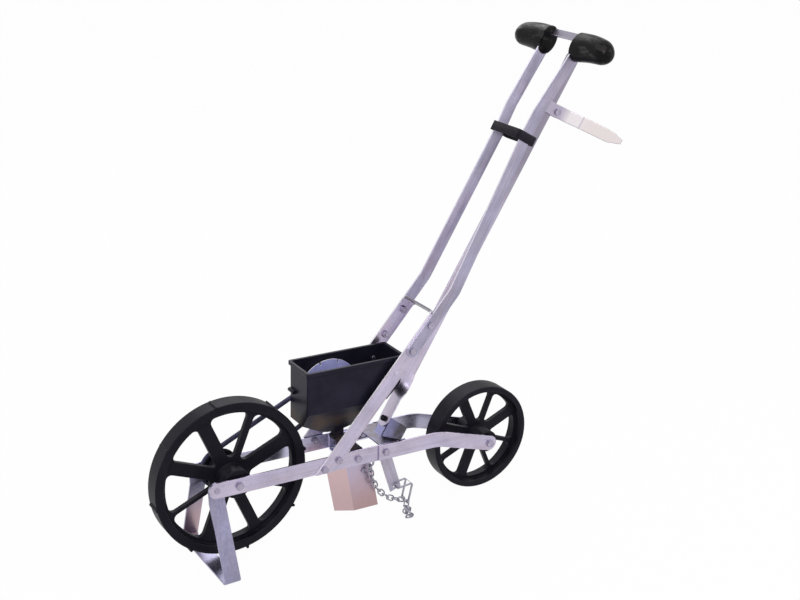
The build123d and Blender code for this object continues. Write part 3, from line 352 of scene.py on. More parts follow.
class Finish:
    """One node material and the means to write it."""

    def __init__(self, name, tree=None):
        if tree is None:
            self.material = bpy.data.materials.new(name)
            self.material.use_nodes = True
            tree = self.material.node_tree
            self.shader = tree.nodes["Principled BSDF"]
        self.tree = tree

    def node(self, kind, settings, inputs, out=0):
        made = self.tree.nodes.new(kind)
        for name, value in settings.items():
            setattr(made, name, value)
        for key, value in inputs.items():
            self.feed(made.inputs[key], value)
        return Socket(self, made.outputs[out])

    def feed(self, socket, value):
        if isinstance(value, Socket):
            self.tree.links.new(value.socket, socket)
        else:
            socket.default_value = value

    def set(self, **values):
        for name, value in values.items():
            self.feed(self.shader.inputs[name.replace("_", " ")], value)

    def place(self):
        """Position on the piece, in metres, in the frame that it was built in."""
        return self.node("ShaderNodeTexCoord", {}, {}, "Object")

    def turned(self, lean, stretch):
        """Position turned so that X runs along a bar of that lean, then stretched."""
        turn = self.node(
            "ShaderNodeVectorRotate",
            {"rotation_type": "Y_AXIS"},
            {"Vector": self.place(), "Angle": radians(lean)},
        )
        return self.node("ShaderNodeVectorMath", {"operation": "MULTIPLY"}, {0: turn, 1: stretch})

    def noise(self, place, scale, detail=3.0, rough=0.55):
        inputs = {"Vector": place, "Scale": scale, "Detail": detail, "Roughness": rough}
        return self.node("ShaderNodeTexNoise", {}, inputs)

    def mix(self, share, first, second):
        inputs = {"Factor": share, 6: first, 7: second}
        return self.node("ShaderNodeMix", {"data_type": "RGBA"}, inputs, 2)

    def axis(self, place, index):
        return self.node("ShaderNodeSeparateXYZ", {}, {0: place}, index)

    def bump(self, height, depth, under=None):
        """Normal from a height that spans depth metres."""
        inputs = {"Height": height, "Distance": depth, "Strength": 1.0}
        if under:
            inputs["Normal"] = under
        return self.node("ShaderNodeBump", {}, inputs)

    def facing(self, index=1):
        """Size of one part of the normal: 1 on faces square to that axis of the machine."""
        return self.toward(index).size()

    def toward(self, index):
        """One part of the normal, in the frame that the piece was built in."""
        return self.axis(self.node("ShaderNodeTexCoord", {}, {}, "Normal"), index)

    def round_edge(self, radius):
        """Normal rounded over sharp edges, and a mask that is 1 along them."""
        soft = self.node("ShaderNodeBevel", {"samples": 8}, {"Radius": radius})
        flat = self.node("ShaderNodeNewGeometry", {}, {}, "Normal")
        dot = {"operation": "DOT_PRODUCT"}
        same = self.node("ShaderNodeVectorMath", dot, {0: soft, 1: flat}, "Value")
        return soft, (1.0 - same).clamp(0.02, 0.16)


def rgba(colour, times=1.0, warmth=0.0):
    """Colour made brighter by times, and redder or bluer by warmth."""
    red, green, blue = (c * times for c in colour)
    tinted = (red * (1 + warmth), green, blue * (1 - warmth))
    return [min(1.0, c) for c in tinted] + [1.0]


def bar_metal(
    name, colour, lean, rough=0.34, streak=1.0, pale=0.7, inside=0.0, warm_reflection=False, dull_above=0.0
):
    """Mill finish bar with drawn streaks and rubs; a share pales its edge faces as a painted
    highlight or, below 0, darkens them as painted shade.

    With inside, edges scatter light, and those nearer to the machine's middle than it are
    darkened as painted shade.
    The right leg's inner side low down can get a painted warm reflection. Above dull_above the bar
    turns duller.
    """
    f = Finish(name)
    edge = bpy.context.scene.planter_sizes.edge
    streaks = f.noise(f.turned(lean, (3.0, 260.0, 260.0)), 1.0, 4.0, 0.6)
    cloud = f.noise(f.place(), 17.0, 3.0)
    scratch = f.noise(f.turned(lean + 7.0, (9.0, 900.0, 900.0)), 1.0, 2.0).clamp(0.62, 0.74)
    soft, rim = f.round_edge(edge)
    tone = streaks * (0.5 * streak) + cloud * 0.5
    drift = f.noise(f.turned(lean, (14.0, 45.0, 45.0)), 1.0, 3.0).clamp(0.35, 0.65)
    speck = f.noise(f.place(), 330.0, 3.0, 0.7).clamp(0.56, 0.70)
    warm = f.mix(tone.clamp(0.34, 0.66), rgba(colour, 0.76, 0.025), rgba(colour, 1.20, 0.025))
    cool = f.mix(tone.clamp(0.34, 0.66), rgba(colour, 0.78, -0.025), rgba(colour, 1.22, -0.025))
    flat = f.mix(speck * 0.45, f.mix(drift, warm, cool), rgba(colour, 0.6))
    # Edge faces get a painted highlight, or painted shade when pale is below 0.
    ends = rgba([c + (1 - c) * pale for c in colour])
    if inside:
        # Painted shade on the edges nearer to the machine's middle.
        within = f.axis(f.place(), 1).size().clamp(inside + 0.001, inside)
        ends = f.mix(within, ends, rgba(colour, 0.38))
    painted_edge_mask = f.facing().clamp(0.7, 0.3)
    body = f.mix(painted_edge_mask, flat, ends)
    if dull_above:
        high = f.axis(f.place(), 2).clamp(dull_above, dull_above + DULL_FADE)
        body = f.mix(high * 0.75, body, rgba(colour, 0.45))
    # Painted warm reflection on the right leg's inner side, low down.
    if warm_reflection:
        inner = f.toward(1).clamp(0.3, 0.8)
        low = f.axis(f.place(), 2).clamp(*WARM_REFLECTION_HEIGHTS) * f.axis(f.place(), 1).clamp(0.0, -0.03)
        body = f.mix(low * inner * 0.8, body, rgba(bpy.context.scene.planter_colours.shoe, 1.1))
    # Painted highlight along the rounded edges.
    worn = f.mix(rim * 0.6, body, rgba(colour, 1.5))
    f.set(
        Base_Color=worn,
        Metallic=1.0 - painted_edge_mask if inside else 1.0,
        Roughness=rough + 0.20 * (streaks - 0.5) + 0.12 * (cloud - 0.5) - 0.10 * scratch,
        Normal=f.bump(streaks * streak + scratch * 0.5, 0.00004, soft),
    )
    return f.material


def shoe_metal(name):
    """Sheet polished by soil and scoured downward, with a painted warm reflection at its lower edge
    and slanted nose, a painted lavender reflection at its top, and painted shade along its edges.
    """
    f = Finish(name)
    colours = bpy.context.scene.planter_colours
    low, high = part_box("opener_shoe")
    height = f.axis(f.place(), 2).clamp(low.z, high.z)
    streaks = f.noise(f.turned(SHOE_LEAN, (7.0, 220.0, 220.0)), 1.0, 4.0)
    cloud = f.noise(f.place(), 30.0, 4.0)
    soft, rim = f.round_edge(bpy.context.scene.planter_sizes.edge)
    # Share from the painted warm reflection low down to the painted lavender reflection up top.
    warm = (height + 0.5 * (cloud - 0.5)).clamp(0.15, 1.0)
    flank = f.mix(warm, rgba(colours.shoe), rgba(colours.shoe_top))
    nose = f.mix(warm, rgba(colours.shoe_nose, 0.86), rgba(colours.shoe_nose, 1.06))
    # The nose, facing ahead, gets a brighter lit copy of the painted reflection.
    body = f.mix(f.facing().clamp(0.97, 0.91), flank, nose)
    body = f.mix(streaks.clamp(0.35, 0.75) * 0.3, body, rgba(colours.shoe, 1.35))
    f.set(
        # Painted shade along the rounded edges.
        Base_Color=f.mix(rim * 0.6, body, rgba(colours.shoe, 0.6)),
        Metallic=1.0,
        Roughness=0.36 + 0.18 * (streaks - 0.5) + 0.16 * (cloud - 0.5),
        Normal=f.bump(streaks, 0.00005, soft),
    )
    return f.material


def bracket_metal(name):
    """Bent sheet with painted light: grey on its level shelf, a painted bluish reflection where it
    stands up, painted shade at its wings, and a painted highlight along its edges.
    """
    f = Finish(name)
    colours = bpy.context.scene.planter_colours
    out = f.axis(f.place(), 1).size()
    cloud = f.noise(f.place(), 55.0, 3.0)
    soft, rim = f.round_edge(bpy.context.scene.planter_sizes.edge)
    # Painted shade toward the wings, from the painted bluish reflection of the standing faces.
    wing = (out + 0.012 * (cloud - 0.5)).clamp(*WING_REACH)
    stood = f.mix(wing, rgba(colours.sheet), rgba(colours.shelf, 0.27))
    # The level shelf gets a greyer lit copy.
    body = f.mix(f.facing(2).clamp(0.75, 0.9), stood, rgba(colours.shelf, 0.58))
    body = f.mix(cloud.clamp(0.45, 0.75) * 0.4, body, rgba(colours.sheet, 1.1))
    f.set(
        # Painted highlight along the rounded edges.
        Base_Color=f.mix(rim * 0.7, body, rgba(colours.sheet, 1.3)),
        Metallic=1.0,
        Roughness=0.30 + 0.20 * (cloud - 0.5),
        Normal=f.bump(cloud, 0.0002, soft),
    )
    return f.material


def blade_metal(name):
    """Blade: bar grey as painted shade where it wraps the arm, then bright, with a bend line drawn
    as painted shade, a warmer end, and painted shade on its edge faces and along its edges.
    """
    f = Finish(name)
    colours = bpy.context.scene.planter_colours
    lean = radians(ARM_LEAN)
    reach = [v.co.z * cos(lean) - v.co.x * sin(lean) for v in NODES["marker_blade"].data.vertices]
    share = f.axis(f.turned(ARM_LEAN, (1.0, 1.0, 1.0)), 2).clamp(min(reach), max(reach))
    cloud = f.noise(f.place(), 40.0, 4.0)
    soft, rim = f.round_edge(BLADE_RIM)
    bright = f.mix(share.clamp(0.46, 0.56), rgba(colours.blade), rgba(colours.blade, 0.96, 0.03))
    # Painted shade at the root, where the blade wraps the arm.
    body = f.mix((share + 0.04 * (cloud - 0.5)).clamp(0.24, 0.36), rgba(colours.bar, 0.85), bright)
    # Painted shade along the bend line.
    line = (1.0 - (share - 0.49).size() * 90.0).clamp(0.0, 1.0)
    body = f.mix(line * 0.65, body, rgba(colours.bar, 0.7))
    # Painted shade on the edge faces, then a painted dark band along the edges.
    body = f.mix(f.facing().clamp(0.7, 0.3), body, rgba(colours.bar, 0.5))
    f.set(
        Base_Color=f.mix(rim * 0.85, body, rgba(colours.bar, 0.5)),
        Metallic=1.0,
        Roughness=0.40 + 0.14 * (cloud - 0.5),
        Normal=f.bump(cloud, 0.0001, soft),
    )
    return f.material


def zinc_steel(name, colour, rim_tone):
    """Plated steel with a fine spangle; along its edges and hollows, painted shade where rim_tone
    is below 1 and a painted highlight where it is above 1.
    """
    f = Finish(name)
    spangle = f.node("ShaderNodeTexVoronoi", {}, {"Vector": f.place(), "Scale": 900.0})
    cloud = f.noise(f.place(), 120.0, 3.0)
    soft, rim = f.round_edge(BOLT_RIM)
    body = f.mix(cloud.clamp(0.3, 0.7), rgba(colour, 0.78), rgba(colour, 1.15))
    f.set(
        # Edges and hollows: painted shade where rim_tone is below 1, painted highlight above 1.
        Base_Color=f.mix(rim * 0.8, body, rgba(colour, rim_tone)),
        Metallic=1.0,
        Roughness=0.26 + 0.16 * spangle + 0.14 * (cloud - 0.5),
        Normal=f.bump(spangle, 0.00003, soft),
    )
    return f.material


def plate_metal(name):
    """Turned plate with faint rings round its middle, a painted highlight along its edges and a
    brighter painted highlight on its edge faces.
    """
    f = Finish(name)
    colours = bpy.context.scene.planter_colours
    colour = colours.plate
    middle = box_middle(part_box("seed_plate"))
    off = f.node("ShaderNodeVectorMath", {"operation": "SUBTRACT"}, {0: f.place(), 1: middle})
    radius = f.node("ShaderNodeVectorMath", {"operation": "LENGTH"}, {0: off}, "Value")
    rings = f.node("ShaderNodeMath", {"operation": "SINE"}, {0: radius * 5200.0})
    cloud = f.noise(f.place(), 60.0, 3.0)
    soft, rim = f.round_edge(PLATE_RIM)
    body = f.mix(cloud.clamp(0.3, 0.7), rgba(colour, 0.86), rgba(colour, 1.12))
    # Painted highlight along the rounded edges.
    face = f.mix(rim, body, rgba(colour, 1.7))
    f.set(
        # Painted highlight on the edge faces.
        Base_Color=f.mix(f.facing().clamp(0.8, 0.4), face, rgba(colours.plate_edge)),
        Metallic=0.15,
        Roughness=0.38 + 0.05 * rings + 0.16 * (cloud - 0.5),
        Normal=f.bump(rings, 0.00001, soft),
    )
    f.set(Specular_IOR_Level=0.2)
    return f.material


def moulded_plastic(name, colour, rough, grain, dust, thin_below=0.0):
    """Black moulding with a fine skin, a little dust, a painted highlight along its edges, and a
    painted brownish glow low down where light shows through the wall.
    """
    f = Finish(name)
    colours = bpy.context.scene.planter_colours
    skin = f.noise(f.place(), 1500.0, 2.0)
    flow = f.noise(f.place(), 22.0, 4.0)
    up = f.axis(f.node("ShaderNodeNewGeometry", {}, {}, "Normal"), 2).clamp(0.2, 1.0)
    soft, rim = f.round_edge(bpy.context.scene.planter_sizes.moulded_edge)
    dusty = (flow.clamp(0.42, 0.75) * up * dust).clamp(0.0, 1.0)
    body = f.mix(flow.clamp(0.3, 0.7), rgba(colour, 0.75), rgba(colour, 1.35))
    if thin_below:
        # Painted brownish glow of light through the wall, in patches below the hopper's floor.
        height = f.axis(f.turned(RAIL_LEAN, (1.0, 1.0, 1.0)), 2)
        belly_glow = height.clamp(thin_below, thin_below - BELLY_FADE) * flow.clamp(0.43, 0.64)
        body = f.mix(belly_glow, body, rgba(colours.belly))
    # Painted highlight along the moulded edges.
    body = f.mix(rim * 0.5, body, rgba(colour, 1.8))
    f.set(
        Base_Color=f.mix(dusty, body, rgba(colours.dust)),
        Roughness=rough + 0.10 * (flow - 0.5) + 0.06 * (skin - 0.5) + 0.25 * dusty,
        Normal=f.bump(skin * grain + flow * 0.3, 0.00006, soft),
    )
    f.set(Specular_IOR_Level=0.12, Specular_Tint=rgba(colours.shine))
    return f.material


def grip_vinyl(name):
    """Thick dipped coat with a soft ripple, rubbed dull but for glossy streaks that carry a painted
    brownish highlight.
    """
    f = Finish(name)
    colour = bpy.context.scene.planter_colours.grip
    ripple = f.noise(f.place(), 70.0, 3.0)
    skin = f.noise(f.place(), 1100.0, 2.0)
    rub = f.noise(f.place(), 38.0, 4.0).clamp(0.52, 0.72)
    glint = f.noise(f.turned(UPPER_LEAN, (95.0, 26.0, 60.0)), 1.0, 3.0).clamp(0.54, 0.68)
    matt = f.mix(rub * 0.6, rgba(colour, 0.8), rgba(colour, 1.7))
    f.set(
        # Painted brownish highlight in the glossy streaks.
        Base_Color=f.mix(glint * 0.5, matt, rgba(colour, 3.0, 0.25)),
        Roughness=0.24 + 0.16 * rub + 0.06 * (skin - 0.5),
        Coat_Weight=0.03 + 0.42 * glint,
        Normal=f.bump(ripple + skin * 0.10, 0.0003),
    )
    f.set(Specular_IOR_Level=0.07)
    return f.material


def belt_rubber(name):
    """Dull rubber with light rub marks."""
    f = Finish(name)
    colour = bpy.context.scene.planter_colours.rubber
    skin = f.noise(f.place(), 700.0, 3.0)
    rub = f.noise(f.place(), 45.0, 4.0)
    f.set(
        Base_Color=f.mix(rub.clamp(0.4, 0.75), rgba(colour), rgba(colour, 2.2)),
        Roughness=0.55 + 0.2 * (rub - 0.5),
        Normal=f.bump(skin, 0.00008),
    )
    f.set(Specular_IOR_Level=0.3)
    return f.material


def strap_webbing(name):
    """Ribbed webbing: ribs along the band crossed by finer weft."""
    f = Finish(name)
    colour = bpy.context.scene.planter_colours.webbing
    turns = 2 * pi / bpy.context.scene.planter_sizes.weave
    place = f.turned(UPPER_LEAN, (1.0, 1.0, 1.0))
    ribs = f.node("ShaderNodeMath", {"operation": "SINE"}, {0: f.axis(place, 0) * turns})
    round_band = f.axis(place, 1) + f.axis(place, 2)
    weft = f.node("ShaderNodeMath", {"operation": "SINE"}, {0: round_band * (turns * 1.3)})
    fuzz = f.noise(f.place(), 900.0, 3.0)
    weave = ribs * 0.5 + ribs * weft * 0.35 + fuzz * 0.5
    f.set(
        Base_Color=f.mix(weave.clamp(-0.6, 1.0), rgba(colour, 0.6), rgba(colour, 2.1)),
        Roughness=0.72 + 0.15 * (fuzz - 0.5),
        Normal=f.bump(weave, 0.00022),
    )
    f.set(Sheen_Weight=0.10, Specular_IOR_Level=0.12)
    return f.material


def dress(material, *names):
    """Gives one finish to CAD nodes whose shape stays."""
    for name in names:
        data = NODES[name].data
        data.materials.clear()
        data.materials.append(material)


def add_piece(name, mesh, material, slot, *stood_for):
    """New piece that rides on the body of the nodes that it stands for."""
    mesh.update()
    mesh.materials.append(material)
    piece = bpy.data.objects.new(name, mesh)
    bpy.context.scene.collection.objects.link(piece)
    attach(piece, NODES[stood_for[0]]["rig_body"])
    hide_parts(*stood_for)


def box_middle(box):
    """Middle of a box that is given by its lowest and highest corners."""
    low, high = box
    return (low + high) / 2


def handle_axes():
    """Directions up along the upper handles and ahead, square to them."""
    lean = radians(UPPER_LEAN)
    return Vector((cos(lean), 0, sin(lean))), Vector((sin(lean), 0, -cos(lean)))


def skin_rings(name, rings, closed):
    """Mesh over rings of points of one count; closed joins the last to the first."""
    count = len(rings[0])
    points = [p for ring in rings for p in ring]
    faces = []
    spans = len(rings) if closed else len(rings) - 1
    for i in range(spans):
        a, b = i * count, (i + 1) % len(rings) * count
        for j in range(count):
            k = (j + 1) % count
            faces.append((a + j, a + k, b + k, b + j))
    if not closed:
        faces.append(tuple(reversed(range(count))))
        faces.append(tuple(range(len(points) - count, len(points))))
    mesh = bpy.data.meshes.new(name)
    mesh.from_pydata(points, [], faces)
    tidy = bmesh.new()
    tidy.from_mesh(mesh)
    bmesh.ops.recalc_face_normals(tidy, faces=tidy.faces)
    tidy.to_mesh(mesh)
    tidy.free()
    mesh.shade_smooth()
    return mesh


def join_parts(name, parts):
    """One smooth mesh from several, which are used up."""
    joined = bmesh.new()
    for part in parts:
        joined.from_mesh(part)
        bpy.data.meshes.remove(part)
    bmesh.ops.remove_doubles(joined, verts=joined.verts, dist=SAME_POINT)
    bmesh.ops.recalc_face_normals(joined, faces=joined.faces)
    mesh = bpy.data.meshes.new(name)
    joined.to_mesh(mesh)
    joined.free()
    mesh.shade_smooth()
    return mesh


def smooth_between(values, at):
    """Value of a smooth curve through evenly spaced values, at a share from 0 to 1."""
    spot = at * (len(values) - 1)
    i = min(int(spot), len(values) - 2)
    t = spot - i
    a, b, c, d = (values[max(0, min(len(values) - 1, i + k))] for k in (-1, 0, 1, 2))
    rise = 2 * b + (c - a) * t
    rise += (2 * a - 5 * b + 4 * c - d) * t * t
    rise += (3 * b - a - 3 * c + d) * t ** 3
    return rise / 2


class PLANTER_OT_bars(bpy.types.Operator):
    """Finish the flat bars of the frame, handles, stand, marker arm and chain hanger"""

    bl_idname = "planter.bars"
    bl_label = "Flat bars"

    def execute(self, context):
        colours = context.scene.planter_colours
        colour = colours.bar
        rails = bar_metal("rail_bar", colour, RAIL_LEAN, pale=-0.15)
        far_rails = bar_metal("far_rail", colours.far_rail, RAIL_LEAN, pale=0.1)
        legs = bar_metal("leg_bar", colour, LEG_LEAN, inside=LEG_INSIDE)
        upper = bar_metal("upper_bar", colours.handle, UPPER_LEAN, rough=0.40, pale=0.45)
        far_upper = bar_metal("far_bar", colours.far_handle, UPPER_LEAN, rough=0.40, pale=0.25)
        stand = bar_metal("stand_bar", colours.stand, STAND_LEAN, pale=0.0, warm_reflection=True)
        arm = bar_metal("marker_bar", colour, ARM_LEAN, pale=0.1, dull_above=ARM_DULL_ABOVE)
        hanger = bar_metal("hanger_bar", colours.hanger, HANGER_LEAN)
        cross = bar_metal("cross_bar", colours.cross, 0.0, rough=0.36, streak=0.5, pale=0.0)
        dress(rails, "left_front_rail", "left_rear_rail")
        dress(far_rails, "right_front_rail", "right_rear_rail")
        dress(legs, "lower_handle")
        dress(upper, "left_upper_handle")
        dress(far_upper, "right_upper_handle")
        dress(stand, "kickstand")
        dress(arm, "marker_arm")
        dress(hanger, "chain_hanger")
        dress(cross, "handle_crossbar")
        return {"FINISHED"}


class PLANTER_OT_sheets(bpy.types.Operator):
    """Finish the bent sheet pieces: marker bracket, opener, its guides and the blade"""

    bl_idname = "planter.sheets"
    bl_label = "Bent sheet"

    def execute(self, context):
        colours = context.scene.planter_colours
        dress(bracket_metal("bracket_sheet"), "marker_bracket")
        guides = bar_metal(
            "guide_sheet", colours.guide, GUIDE_LEAN, rough=0.36, streak=0.5, pale=0.0
        )
        dress(guides, "opener_guides")
        dress(blade_metal("blade_sheet"), "marker_blade")
        dress(shoe_metal("opener_sheet"), "opener_shoe")
        return {"FINISHED"}


class PLANTER_OT_fasteners(bpy.types.Operator):
    """Finish the bolts, nuts, axles, rivets and screws"""

    bl_idname = "planter.fasteners"
    bl_label = "Fasteners"

    def execute(self, context):
        colours = context.scene.planter_colours
        dress(
            zinc_steel("zinc_plate", colours.bolt, rim_tone=0.3),
            "front_axle", "rear_axle", "axle_nuts", "rail_bolts", "rail_nuts", "handle_bolts",
            "handle_nuts", "kickstand_rivets", "depth_bolt", "depth_nut", "marker_pivot_nut",
            "blade_bolt", "blade_nut", "plate_shaft",
        )
        dress(zinc_steel("screw_zinc", colours.screw, rim_tone=0.6), "hopper_screws")
        wire = zinc_steel("wire_zinc", colours.zinc, rim_tone=1.5)
        dress(wire, "chain_eye", "chain_hook")
        return {"FINISHED"}


class PLANTER_OT_wheels(bpy.types.Operator):
    """Build both moulded wheels and finish the pulleys, spacers and marker pivot"""

    bl_idname = "planter.wheels"
    bl_label = "Wheels"

    def execute(self, context):
        colour = context.scene.planter_colours.plastic
        moulding = moulded_plastic("wheel_moulding", colour, rough=0.44, grain=0.6, dust=0.8)
        cleat = context.scene.planter_sizes.cleat
        front = wheel_mesh("front_wheel", FRONT_WHEEL, cleat)
        rear = wheel_mesh("rear_wheel", REAR_WHEEL, 0.0)
        add_piece("front_wheel_moulding", front, moulding, "black_plastic", "front_wheel")
        add_piece("rear_wheel_moulding", rear, moulding, "black_plastic", "rear_wheel")
        dress(
            moulded_plastic("pulley_moulding", colour, rough=0.42, grain=0.5, dust=0.4),
            "drive_pulley", "driven_pulley", "axle_spacers", "hopper_spacers", "marker_pivot_bolt",
        )
        return {"FINISHED"}


def wheel_mesh(node, wheel, cleat):
    """Channel rim, flat web with rounded windows, hub and cleats of one wheel."""
    middle = box_middle(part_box(node))
    tread, inner, half = wheel.tread, wheel.inner, wheel.width / 2
    groove, floor = tread - RIM_SKIN, inner + RIM_FLOOR
    rim = [
        (inner, -half), (inner, half - MOULD_CHAMFER), (inner + MOULD_CHAMFER, half),
        (tread - MOULD_CHAMFER, half), (tread, half - MOULD_CHAMFER), (tread, MOULD_CHAMFER - half),
        (tread - MOULD_CHAMFER, -half), (groove, -half), (groove, half - RIM_FACE),
        (floor, half - RIM_FACE), (floor, -half),
    ]
    far, near = wheel.hub_far, wheel.hub_near
    barrel = [
        (AXLE_BORE, far), (wheel.hub, far), (wheel.hub, near - MOULD_CHAMFER),
        (wheel.hub - MOULD_CHAMFER, near), (AXLE_BORE, near),
    ]
    parts = [turned_ring(middle, rim), turned_ring(middle, barrel), web_mesh(middle, wheel)]
    if cleat:
        for i in range(len(wheel.spokes)):
            lean = FIRST_SPOKE + CLEAT_TURN - i * SPOKE_STEP
            parts.append(cleat_mesh(middle, lean, tread, cleat, half - CLEAT_INSET))
    mesh = join_parts(node + "_moulding", parts)
    mesh.set_sharp_from_angle(angle=WHEEL_SHARP)
    return mesh


def whole_turn():
    """Evenly spaced angles round a wheel."""
    return [2 * pi * i / TURN_STEPS for i in range(TURN_STEPS)]


def turned_ring(middle, profile):
    """Closed profile of (radius, y) pairs, turned about the wheel's axle."""
    rings = []
    for a in whole_turn():
        rings.append([(middle.x + r * cos(a), y, middle.z + r * sin(a)) for r, y in profile])
    return skin_rings("ring", rings, True)


def cleat_mesh(middle, lean, tread, height, reach):
    """Low ridge across the tread, narrower at its top."""
    out = Vector((cos(lean), 0, sin(lean)))
    side = Vector((-sin(lean), 0, cos(lean)))
    corners = (
        (-CLEAT_ROOT, CLEAT_HALF_FOOT), (height, CLEAT_HALF_TOP),
        (height, -CLEAT_HALF_TOP), (-CLEAT_ROOT, -CLEAT_HALF_FOOT),
    )
    rings = []
    for y in (-reach, reach):
        end = Vector((0, y, 0))
        rings.append([middle + out * (tread + up) + side * across + end for up, across in corners])
    return skin_rings("cleat", rings, False)


def web_mesh(middle, wheel):
    """Flat web between hub and rim, cut by a window between each two spokes."""
    rim = wheel.inner + RIM_FLOOR / 2
    back, front = wheel.web_face - WEB_DEPTH, wheel.web_face
    outlines = [[(rim * cos(a), rim * sin(a)) for a in whole_turn()]]
    for i, across in enumerate(wheel.spokes):
        lean = FIRST_SPOKE - i * SPOKE_STEP
        following = wheel.spokes[(i + 1) % len(wheel.spokes)]
        outlines.append(window_outline(lean, across, following, wheel.window_in, wheel.window_out))
    curve = bpy.data.curves.new("web", "CURVE")
    curve.dimensions = "2D"
    curve.fill_mode = "BOTH"
    curve.extrude = (front - back) / 2
    for outline in outlines:
        spline = curve.splines.new("POLY")
        spline.points.add(len(outline) - 1)
        for point, (x, z) in zip(spline.points, outline):
            point.co = (x, z, 0, 1)
        spline.use_cyclic_u = True
    holder = bpy.data.objects.new("web", curve)
    mesh = bpy.data.meshes.new_from_object(holder)
    bpy.data.objects.remove(holder)
    bpy.data.curves.remove(curve)
    for vert in mesh.vertices:
        x, z, depth = vert.co
        vert.co = (middle.x + x, (front + back) / 2 - depth, middle.z + z)
    return mesh


def window_outline(lean, across, next_across, inner, outer):
    """Outline of the window between a spoke of that lean and the next one below it."""
    wide = bpy.context.scene.planter_sizes.window_corner * outer / WINDOW_CORNER_AT
    tight = min(WINDOW_ROOT, (inner * SPOKE_STEP - (across + next_across) / 2) / 2)
    upper = window_side(lean, -across / 2, inner, outer, tight, wide)
    lower = window_side(lean - SPOKE_STEP, next_across / 2, inner, outer, tight, wide)
    start, end = atan2(lower[-1][1], lower[-1][0]), atan2(upper[-1][1], upper[-1][0])
    span = (end - start) % (2 * pi)
    turns = [start + span * i / WINDOW_ARC_STEPS for i in range(1, WINDOW_ARC_STEPS)]
    arc = [(outer * cos(a), outer * sin(a)) for a in turns]
    return lower + arc + upper[::-1]


def window_side(lean, offset, inner, outer, tight, wide):
    """Points up one side of a window, from hub to rim, rounded at both ends."""
    sign = 1 if offset > 0 else -1
    points = []
    for i in range(WINDOW_SIDE_STEPS + 1):
        radius = inner + (outer - inner) * (1 - cos(pi * i / WINDOW_SIDE_STEPS)) / 2
        off = offset + sign * (corner_gap(radius - inner, tight) + corner_gap(outer - radius, wide))
        turn = lean + asin(off / radius)
        points.append((radius * cos(turn), radius * sin(turn)))
    return points


def corner_gap(distance, radius):
    """How far a rounded corner stands off its side, at a distance from the corner's end."""
    left = max(0.0, radius - distance)
    return radius - sqrt(max(0.0, radius * radius - left * left))


class PLANTER_OT_hopper(bpy.types.Operator):
    """Finish the hopper, the seed chute and the seed plate"""

    bl_idname = "planter.hopper"
    bl_label = "Hopper"

    def execute(self, context):
        colours = context.scene.planter_colours
        tub = moulded_plastic(
            "hopper_moulding", colours.hopper, rough=0.30, grain=0.25, dust=0.5,
            thin_below=HOPPER_FLOOR,
        )
        dress(tub, "hopper", "seed_chute")
        dress(plate_metal("turned_plate"), "seed_plate")
        return {"FINISHED"}


class PLANTER_OT_belt(bpy.types.Operator):
    """Build the round edged drive belt round both pulleys"""

    bl_idname = "planter.belt"
    bl_label = "Drive belt"

    def execute(self, context):
        low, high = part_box("drive_belt")
        first = box_middle(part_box("drive_pulley"))
        second = box_middle(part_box("driven_pulley"))
        out_by = BELT_PROUD - BELT_DEPTH / 2
        path = belt_path(first, high.x - first.x + out_by, second, second.x - low.x + out_by)
        half = (high.y - low.y) / 2
        y = (low.y + high.y) / 2
        rings = []
        for (x, z), (nx, nz) in path:
            ring = []
            for step in range(BELT_SIDES):
                turn = 2 * pi * step / BELT_SIDES
                out = BELT_DEPTH / 2 * superellipse(sin(turn))
                wide = half * (BELT_SWELL if out > BELT_PROUD / 2 else 1.0)
                ring.append((x + nx * out, y + wide * superellipse(cos(turn)), z + nz * out))
            rings.append(ring)
        mesh = skin_rings("belt", rings, True)
        add_piece("belt", mesh, belt_rubber("belt_rubber"), "belt_rubber", "drive_belt")
        return {"FINISHED"}


def superellipse(value):
    """Softens a circle's section toward a rounded square."""
    return abs(value) ** BELT_SQUARING * (1 if value >= 0 else -1)


def belt_path(first, first_r, second, second_r):
    """Points and outward directions of the open loop round two pulleys, in the side view."""
    dx, dz = second.x - first.x, second.z - first.z
    span, turn = hypot(dx, dz), atan2(dz, dx)
    open_angle = (first_r - second_r) / span
    arcs = [
        (first, first_r, turn + pi / 2 - open_angle, turn + 3 * pi / 2 + open_angle),
        (second, second_r, turn - pi / 2 + open_angle, turn + pi / 2 - open_angle),
    ]
    path = []
    for middle, radius, start, end in arcs:
        steps = ceil((end - start) / BELT_STEP)
        for i in range(steps + 1):
            a = start + (end - start) * i / steps
            out = (cos(a), sin(a))
            path.append(((middle.x + radius * out[0], middle.z + radius * out[1]), out))
    return path


class PLANTER_OT_grips(bpy.types.Operator):
    """Build the two dipped hand grips"""

    bl_idname = "planter.grips"
    bl_label = "Grips"

    def execute(self, context):
        vinyl = grip_vinyl("grip_vinyl")
        up, ahead = handle_axes()
        base = Vector((GRIP_POINT[0], 0, GRIP_POINT[1]))
        sections = (GRIP_TALL, GRIP_DEEP, GRIP_DROP)
        for name, sign in (("left_grip", 1), ("right_grip", -1)):
            rings = []
            for i in range(GRIP_STEPS + 1):
                share = (1 - cos(pi * i / GRIP_STEPS)) / 2
                y = sign * (GRIP_INNER_Y + (GRIP_OUTER_Y - GRIP_INNER_Y) * share)
                tall, deep, drop = (smooth_between(v, share) / 1000 for v in sections)
                swell = end_round(share / GRIP_INNER_ROUND)
                swell *= end_round((1 - share) / GRIP_OUTER_ROUND)
                ring = []
                for step in range(GRIP_SIDES):
                    turn = 2 * pi * step / GRIP_SIDES
                    tip = up * (tall * swell * sin(turn) - drop)
                    tip += ahead * (deep * swell * cos(turn) + GRIP_AHEAD)
                    ring.append(base + Vector((0, y, 0)) + tip)
                rings.append(ring)
            mesh = skin_rings(name + "_dip", rings, False)
            add_piece(name + "_dip", mesh, vinyl, "grip_vinyl", name)
        return {"FINISHED"}


